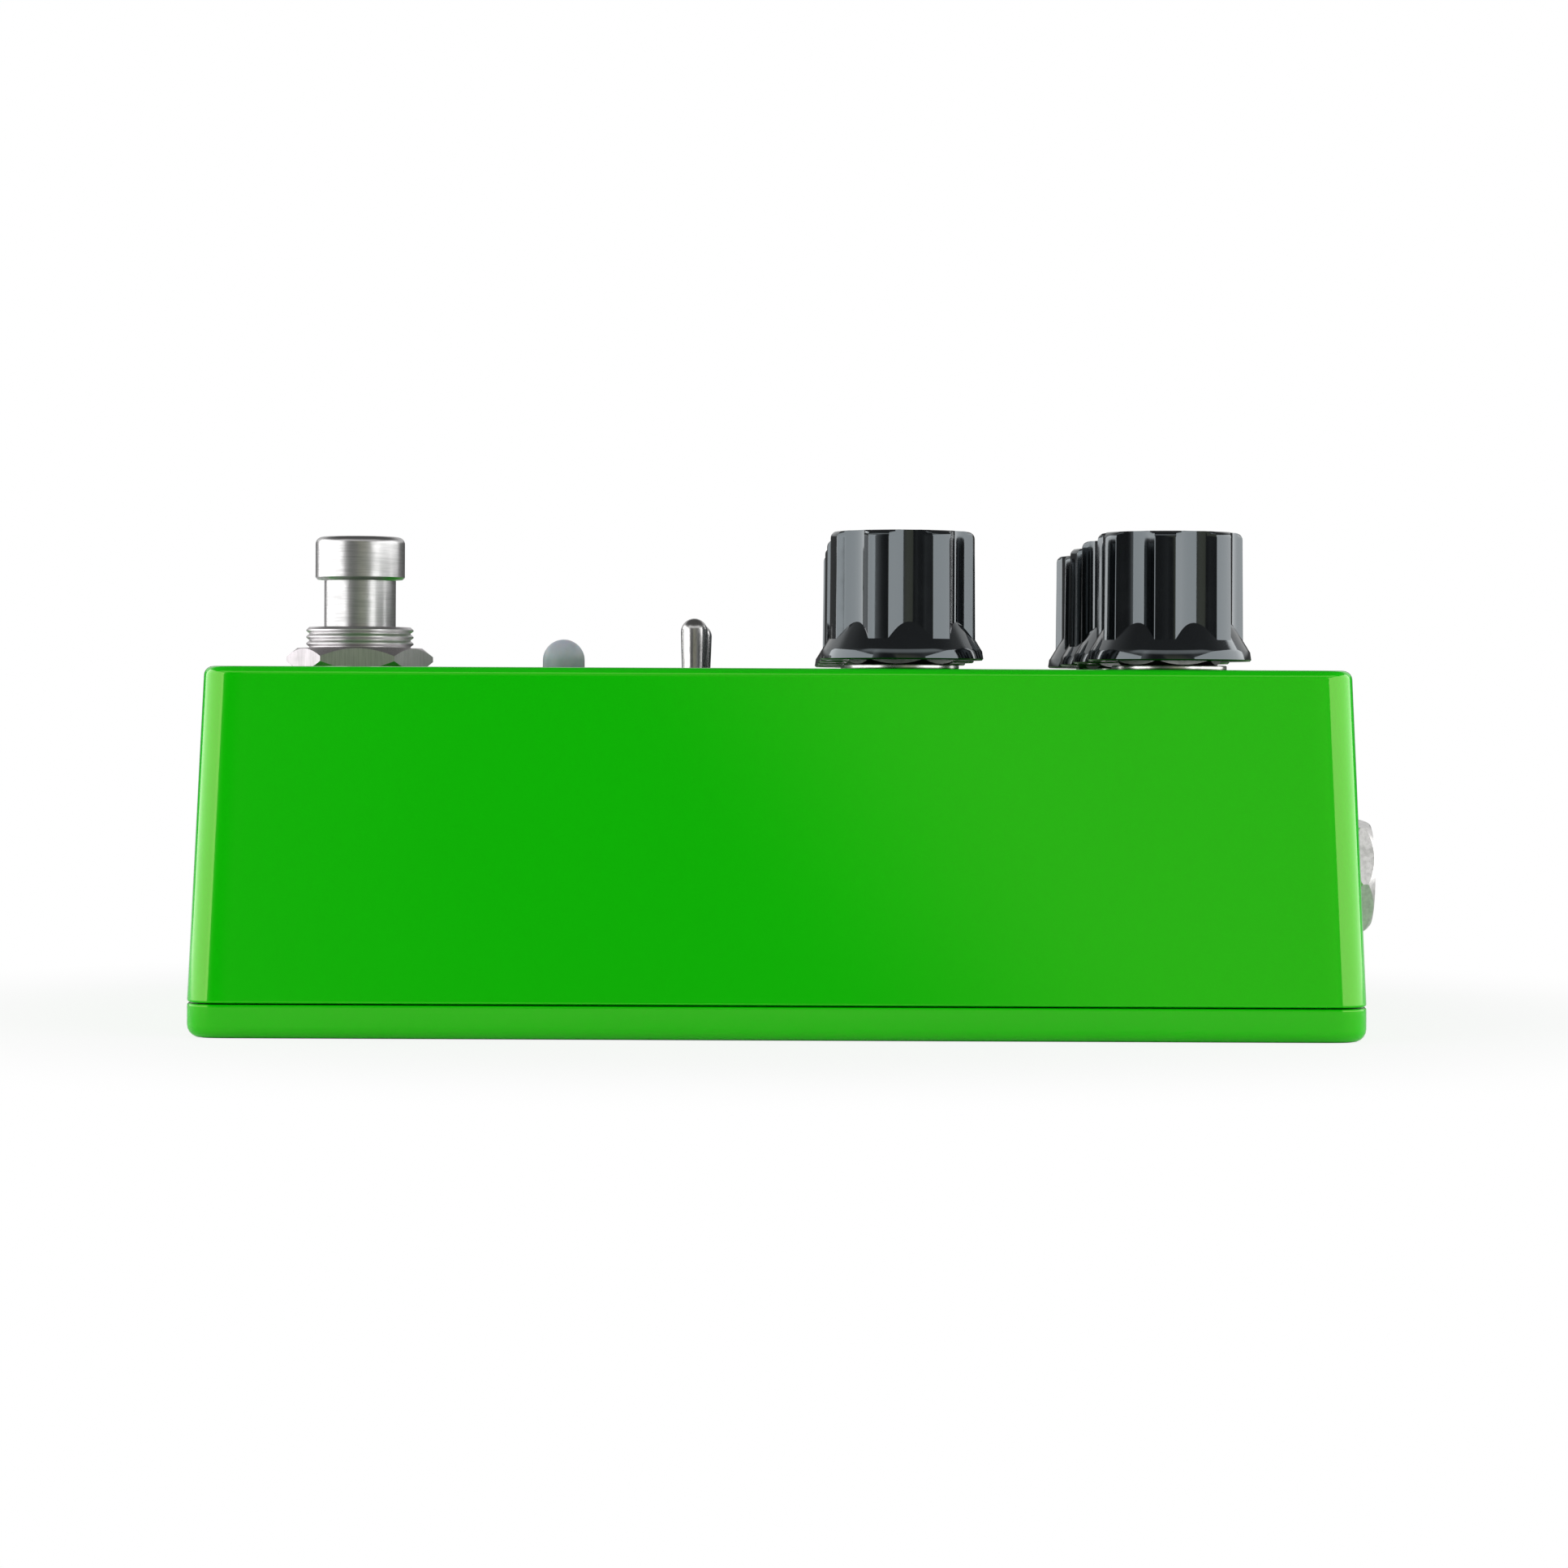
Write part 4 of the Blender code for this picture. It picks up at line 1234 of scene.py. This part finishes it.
@dataclass
class Footswitch:
    """The footswitch above the panel: nut, threaded bushing and plunger."""

    thread_radius = 6.0 * MM
    pitch: float = 0.75 * MM
    thread_depth: float = 0.32 * MM
    bore: float = 4.15 * MM
    nut_flats: float = 14.2 * MM
    nut_turn: float = 33.0
    stem: float = 4.0 * MM
    cap: float = 5.0 * MM

    def bushing(self, spot: Vector) -> None:
        """The threaded bushing with its bore and round flange."""
        low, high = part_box("footswitch_bushing")
        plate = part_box("footswitch_back_nut")[0][2] - 0.3 * MM
        outer = thread(self.thread_radius, self.thread_depth, self.pitch, plate, high[2])
        flange = (high[0] - low[0]) / 2
        outline = [(self.bore + 0.3 * MM, high[2])] + outer
        outline += [(flange, plate), (flange, low[2]), (self.bore, low[2])]
        outline += [(self.bore, high[2] - 0.3 * MM)]
        ring = Shape.turned("footswitch_thread", outline, 96, closed=True)
        ring.move((spot.x, spot.y, 0.0))
        ring.smooth(30.0).dress(THREAD, ROOT, "footswitch_bushing")

    def nut(self, spot: Vector) -> None:
        """The hexagon nut on the panel."""
        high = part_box("footswitch_nut")[1]
        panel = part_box("enclosure_body")[1][2]
        base = panel + 0.04 * MM
        made = hex_nut(
            "footswitch_hex", self.nut_flats, high[2] - base, self.thread_radius + 0.05 * MM,
            math.radians(self.nut_turn), 1.0 * MM,
        )
        made.move((spot.x, spot.y, base))
        made.smooth(25.0).dress(NUT_FACE, ROOT, "footswitch_nut")

    def plunger(self, spot: Vector) -> None:
        """The stem and its cap, with a soft top edge and a chamfer under it."""
        low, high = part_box("footswitch_plunger")
        top = high[2]
        cap_foot = top - 4.8 * MM
        outline = [(0.0, top), (2.5 * MM, top - 0.02 * MM)]
        outline += arc((self.cap - 0.8 * MM, top - 0.82 * MM), 0.8 * MM, 88, 0, 7)
        outline += [(self.cap, cap_foot + 0.25 * MM), (self.cap - 0.25 * MM, cap_foot)]
        outline += [(self.stem + 0.12 * MM, cap_foot), (self.stem, cap_foot - 0.12 * MM)]
        outline += [(self.stem, low[2] + 0.3 * MM), (self.stem - 0.3 * MM, low[2]), (0.0, low[2])]
        made = Shape.turned("footswitch_cap", outline, 96)
        made.move((spot.x, spot.y, 0.0))
        made.smooth(32.0).dress(TURNED_NICKEL, "footswitch_plunger", "footswitch_plunger")

    def build(self) -> None:
        """Model the three pieces on the switch's axis."""
        spot = centre_of("footswitch_bushing")
        self.bushing(spot)
        self.nut(spot)
        self.plunger(spot)


# ---------------------------------------------------------------- LED and toggles


@dataclass
class Indicator:
    """The LED: lens, flange and leads."""

    radius = 2.35 * MM

    def build(self) -> None:
        """Spin the lens, and stand it on two square leads."""
        low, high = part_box("indicator_led")
        spot = centre_of("indicator_led")
        flange = (high[0] - low[0]) / 2
        dome = high[2] - self.radius
        flange_top = dome - 3.85 * MM
        outline = arc((0.0, dome), self.radius, 90, 0, 16)
        outline += [(self.radius + 0.03 * MM, flange_top), (flange, flange_top)]
        outline += [(flange, flange_top - 1 * MM), (0.0, flange_top - 1 * MM)]
        lens = Shape.turned("led_dome", outline, 64).move((spot.x, spot.y, 0.0))
        half = 0.25 * MM
        for side in (-1, 1):
            x = spot.x + side * 1.27 * MM
            lens.add(Shape.box(
                "lead", (x - half, spot.y - half, low[2]),
                (x + half, spot.y + half, flange_top - 0.6 * MM),
            ))
        finish = MilkyLens("led_milk", "led_lens", (0.48, 0.52, 0.59), (spot.x, spot.y, dome))
        lens.smooth(30.0).dress(finish, ROOT, "indicator_led")


@dataclass
class Toggles:
    """Two bat toggles that come straight out of the panel."""

    bushing_radius = 3.1 * MM
    tip: float = 1.46 * MM
    neck: float = 1.32 * MM
    ball: float = 1.9 * MM

    def lever(self, joint: dict) -> None:
        """One bat lever on its ball, leaning as it stands at rest."""
        node = joint["child"]
        pivot = Vector(joint["pos_m"])
        low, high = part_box(node)
        lean = math.radians(-sum(joint["range_deg"]) / 2)
        reach = self.reach(high[2] - pivot.z, abs(lean))
        outline = arc((0.0, reach - self.tip), self.tip, 90, 0, 10)
        waist = math.sqrt(self.ball ** 2 - self.neck ** 2)
        start = math.degrees(math.atan2(waist, self.neck))
        outline += [(self.tip - 0.05 * MM, reach - 3.2 * MM), (self.neck, waist + 1.2 * MM)]
        outline += arc((0.0, 0.0), self.ball, start, -90, 14)
        made = Shape.turned("bat_" + node, outline, 64)
        made.turn(lean, axis="Y").move(pivot)
        made.smooth(30.0).dress(LEVER_NICKEL, node, node)

    def reach(self, rise: float, lean: float) -> float:
        """The lever's length from its pivot, for a rise above it at a lean."""
        return (rise - self.tip) / math.cos(lean) + self.tip

    def body(self, node: str) -> None:
        """A switch body with its threaded bushing and a mouth for the lever."""
        low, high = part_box(node)
        spot = centre_of(node)
        case = Shape.box("case_" + node, low, (high[0], high[1], high[2] - 2.4 * MM))
        case.soften(0.4 * MM, 3)
        top = high[2]
        shoulder = top - 2.4 * MM
        foot = shoulder - 0.5 * MM
        outline = [(2.35 * MM, top)]
        outline += thread(self.bushing_radius, 0.2 * MM, 0.6 * MM, shoulder, top)
        outline += [(self.bushing_radius - 0.2 * MM, foot), (2.35 * MM, foot)]
        ring = Shape.turned("mouth_" + node, outline, 64, closed=True)
        ring.move((spot.x, spot.y, 0.0))
        ring.smooth().dress(NICKEL, ROOT)
        mouth = Shape.rod("mouth", 2.3 * MM, top - 4.7 * MM, top, spot)
        groove = Shape.rod(
            "groove", self.bushing_radius - 0.15 * MM, shoulder - 0.55 * MM, top, spot
        )
        case.cut(mouth, groove).smooth().dress(SWITCH_BLACK, ROOT, node)

    def build(self) -> None:
        """Model both switches."""
        for joint in frame["joints"]:
            if joint["child"].startswith("toggle_"):
                self.lever(joint)
        for side in ("left", "right"):
            self.body("toggle_body_" + side)


# ---------------------------------------------------------------- rear wall


@dataclass
class Jacks:
    """Two jack sockets: bushing with its bore, washer and nut outside."""

    bushing_radius = 4.5 * MM
    bore: float = 3.25 * MM
    bore_depth: float = 26.5 * MM
    nut_flats: float = 11.0 * MM
    washer_radius: float = 6.2 * MM
    corner: float = 7.0
    case_length: float = 20.5 * MM

    def washer(self, node: str, spot: Vector, wall: float, face: float) -> None:
        """A plain washer between the wall and the nut."""
        hole = self.bushing_radius + 0.1 * MM
        ring = Shape.turned("washer_" + node, [
            (hole, 0.0), (self.washer_radius, 0.0), (self.washer_radius, face - wall),
            (hole, face - wall),
        ], 72, closed=True).soften(0.12 * MM, 2)
        ring.face_rear(spot.x, wall, spot.z)
        ring.smooth().dress(NICKEL, ROOT)

    def one(self, side: str) -> None:
        """Model one jack."""
        nut = "jack_nut_" + side
        body = "jack_body_" + side
        low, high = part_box(nut)
        spot = centre_of(nut)
        made = hex_nut(
            "fine_" + nut, self.nut_flats, high[1] - low[1], self.bushing_radius + 0.1 * MM,
            math.radians(self.corner), 0.9 * MM,
        )
        made.face_rear(spot.x, low[1], spot.z)
        made.smooth(25.0).dress(NICKEL, ROOT, nut)
        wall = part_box("enclosure_body")[1][1] - 0.5 * MM
        self.washer(nut, spot, wall, low[1] - 0.03 * MM)
        case_low, case_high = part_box(body)
        case_end = case_low[1] + self.case_length
        case = Shape.box("case_" + body, case_low, (case_high[0], case_end, case_high[2]))
        case.soften(0.5 * MM, 3)
        tip = case_high[1]
        outline = [(self.bore + 0.35 * MM, tip - case_end)]
        outline += thread(self.bushing_radius, 0.22 * MM, 0.75 * MM, 0.0, tip - case_end)
        outline += [(self.bushing_radius - 0.22 * MM, -0.6 * MM), (self.bore, -0.6 * MM)]
        outline += [(self.bore, tip - case_end - 0.35 * MM)]
        ring = Shape.turned("bushing_" + body, outline, 64, closed=True)
        ring.face_rear(spot.x, case_end, spot.z)
        ring.smooth(30.0).dress(NICKEL, ROOT)
        reach = self.bore_depth - (tip - case_end)
        seat = self.bushing_radius - 0.2 * MM
        for name, radius, depth in (("bore", self.bore, reach), ("seat", seat, 0.62 * MM)):
            hole = Shape.rod(name, radius, -depth, MM)
            case.cut(hole.face_rear(spot.x, case_end, spot.z))
        case.smooth().dress(JACK_BLACK, ROOT, body)

    def build(self) -> None:
        """Model both jacks."""
        for side in ("left", "right"):
            self.one(side)


@dataclass
class PowerSocket:
    """The round power socket between the jacks."""

    body_radius = 5.5 * MM
    bore: float = 2.85 * MM
    pin: float = 1.05 * MM
    flange: float = 6.8 * MM
    flange_depth: float = 2.0 * MM

    def build(self) -> None:
        """Spin the socket and its pin about the hole's axis."""
        low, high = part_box("power_socket")
        spot = centre_of("power_socket")
        length = high[1] - low[1]
        rim = length - self.flange_depth
        soft = 0.4 * MM
        outline = [(0.0, 1.5 * MM), (self.bore, 1.5 * MM), (self.bore, length - 0.3 * MM)]
        outline += [(self.bore + 0.3 * MM, length)]
        outline += arc((self.flange - soft, length - soft), soft, 90, 0, 4)
        outline += [(self.flange, rim), (self.body_radius, rim)]
        outline += [(self.body_radius, 0.0), (0.0, 0.0)]
        made = Shape.turned("socket_shell", outline, 72)
        made.face_rear(spot.x, low[1], spot.z)
        made.smooth().dress(JACK_BLACK, ROOT, "power_socket")
        pin_top = length - 1.2 * MM
        pin = Shape.turned("socket_pin", [
            (0.0, 1.6 * MM), (self.pin, 1.6 * MM), (self.pin, pin_top - 0.6 * MM),
            *arc((0.0, pin_top - self.pin), self.pin, 30, 90, 5),
        ], 32)
        pin.face_rear(spot.x, low[1], spot.z)
        pin.smooth().dress(NICKEL, ROOT)


# ---------------------------------------------------------------- inside


@dataclass
class Inside:
    """The frame's own solids that stay, each given its finish."""

    finishes: dict[str, Finish] = field(default_factory=lambda: {
        "pot_body": CASE_STEEL,
        "pot_shaft": SHAFT_METAL,
        "footswitch_case": BLUE_CASE,
        "footswitch_spring": SPRING_STEEL,
        "footswitch_lock_washer": WASHER_STEEL,
        "footswitch_back_nut": NICKEL,
        "footswitch_ribbon": RIBBON_GREY,
        "main_circuit_board": BOARD,
        "amplifier_chip": CHIP_BLACK,
        "power_socket_nut": NICKEL,
    })

    def build(self) -> None:
        """Give each node that still shows its material."""
        for name, node in frame["nodes"].items():
            for start, finish in self.finishes.items():
                if name.startswith(start):
                    node.data.materials.clear()
                    node.data.materials.append(finish.material())


# ---------------------------------------------------------------- studio


@dataclass
class Studio:
    """A pale floor, a softbox on each side, dim surroundings and the camera.

    The horizon is given as (bearing from +X towards +Y in degrees, level).
    """

    lens: float = 101.5
    distance: float = 0.4965
    height: float = 33.05 * MM
    aside: float = 0.2 * MM
    roll: float = 0.25
    shift: Point = (0.0026, -0.043)
    floor_size: float = 6.0
    white_floor: Colour = (0.86, 0.86, 0.86)
    fade: Point = (0.07, 0.13)
    horizon: tuple[Point, ...] = (
        (-180.0, 0.08), (-150.0, 0.14), (-132.0, 0.2), (-122.0, 0.35), (-50.0, 0.4), (-44.0, 1.0),
        (-34.0, 0.2), (-28.0, 0.1), (-18.0, 0.1), (-8.0, 0.18), (-4.0, 0.1), (1.0, 0.1),
        (10.0, 0.14), (25.0, 0.22), (34.0, 0.4), (116.0, 0.3), (130.0, 0.16), (180.0, 0.08),
    )
    horizon_top: Point = (0.6, 0.8)
    ceiling: float = 0.16
    front_light: float = 1.3
    rear_light: float = 0.9
    box_light: float = 2.6
    box_spans: dict[int, Point] = field(
        default_factory=lambda: {-1: (-0.33, 0.51), 1: (-0.28, 0.7)}
    )
    box_distance: float = 0.45
    box_foot: float = -0.05
    box_top: float = 0.35
    patch: Point = (0.02, 0.1)
    patch_slant: float = 0.65
    patch_light: float = 0.32
    patch_tint: Colour = (1.0, 1.0, 0.7)

    def camera(self) -> None:
        """The camera, level with the panel and square to the right-hand side."""
        data = bpy.data.cameras.new("camera")
        data.lens = self.lens
        data.sensor_width = 36.0
        data.shift_x, data.shift_y = self.shift
        data.clip_start = 0.01
        camera = bpy.data.objects.new("camera", data)
        bpy.context.collection.objects.link(camera)
        look = Matrix.Rotation(math.pi / 2, 4, "Z") @ Matrix.Rotation(math.pi / 2, 4, "X")
        roll = Matrix.Rotation(math.radians(self.roll), 4, "Z")
        place = Matrix.Translation((self.distance, self.aside, self.height))
        camera.matrix_world = place @ look @ roll
        bpy.context.scene.camera = camera

    def floor(self) -> None:
        """A white floor that fades into the backdrop, with a faint contact shadow."""
        Shape.clear_bench()
        bpy.ops.mesh.primitive_plane_add(size=self.floor_size, location=(0.0, 0.0, 0.0))
        floor = bpy.context.object
        floor.name = "floor"
        graph = Paint("floor_white")
        seen = graph.value("ShaderNodeLightPath", output="Is Camera Ray")
        away = graph.value("ShaderNodeVectorMath", {"operation": "LENGTH"}, {0: graph.place()}, "Value")
        matte = graph.principled(base_color=self.white_floor, roughness=0.6, specular_ior_level=0.2)
        glow = graph.value("ShaderNodeEmission", {}, {"Strength": 1.0})
        floor.data.materials.append(
            graph.finished(graph.mixed((away.step(*self.fade) * 0.15 + 0.85) * seen, matte, glow))
        )

    def softboxes(self) -> None:
        """An upright soft light on each side, out of the camera's sight."""
        for side, (rear, front) in self.box_spans.items():
            width, height = front - rear, self.box_top - self.box_foot
            data = bpy.data.lights.new("softbox", "AREA")
            data.shape = "RECTANGLE"
            data.size, data.size_y = width, height
            data.energy = self.box_light * math.pi * width * height
            lamp = bpy.data.objects.new("softbox", data)
            bpy.context.collection.objects.link(lamp)
            lamp.location = (
                (rear + front) / 2, side * self.box_distance, (self.box_top + self.box_foot) / 2
            )
            lamp.rotation_euler = (math.radians(-90 * side), 0.0, 0.0)
            lamp.visible_camera = False

    def world(self) -> None:
        """White seen directly. Reflections see dim surroundings, darkest at the camera."""
        world = bpy.data.worlds.new("studio")
        bpy.context.scene.world = world
        world.use_nodes = True
        graph = Graph(world.node_tree)
        way = graph.value("ShaderNodeTexCoord", output="Generated")
        x, y, z = (graph.axis(way, name) for name in "XYZ")
        bearing = graph.value("ShaderNodeMath", {"operation": "ARCTAN2"}, {0: y, 1: x})
        share = bearing * (0.5 / math.pi) + 0.5
        stops = [(degrees / 360 + 0.5, level) for degrees, level in self.horizon]
        level = graph.value("ShaderNodeValToRGB", {"stops": stops}, {0: share})
        level = level * (1.0 - z.step(*self.horizon_top))
        patch = (bearing + self.patch_slant * z).step(*self.patch) * x.step(0.8, 0.95)
        front = (z.step(0.5, 0.62) - z.step(0.72, 0.82)) * x.step(0.2, 0.4)
        level = level + self.front_light * front
        level = level + self.ceiling * z.step(*self.horizon_top)
        rear = z.step(0.12, 0.25) * (1.0 - z.step(0.5, 0.7)) * (-1.0 * x).step(0.3, 0.6)
        level = level + self.rear_light * rear
        tent = graph.value("ShaderNodeBackground", {}, {"Strength": level}, "Background")
        warm = graph.value(
            "ShaderNodeBackground", {}, {"Color": self.patch_tint, "Strength": self.patch_light * patch}
        )
        tent = graph.value("ShaderNodeAddShader", {}, {0: tent, 1: warm})
        white = graph.value("ShaderNodeBackground", {}, {"Color": (1.0, 1.0, 1.0)})
        seen = graph.value("ShaderNodeLightPath", output="Is Camera Ray")
        graph.node("ShaderNodeOutputWorld", {}, {"Surface": graph.mixed(seen, tent, white)})

    def build(self) -> None:
        """Set the stage."""
        bpy.context.scene.view_settings.view_transform = "Standard"
        self.camera()
        self.floor()
        self.softboxes()
        self.world()


# ---------------------------------------------------------------- assembly


def main() -> None:
    """Build the studio and every sub-assembly, in order."""
    logging.basicConfig(level=logging.INFO, format="%(message)s")
    Studio().build()
    for assembly in (
        Casting(), Screws(), Knobs(), Potentiometers(), Footswitch(), Indicator(), Toggles(),
        Jacks(), PowerSocket(), Inside(),
    ):
        LOG.info("building %s", type(assembly).__name__)
        assembly.build()


if __name__ == "__main__":
    main()
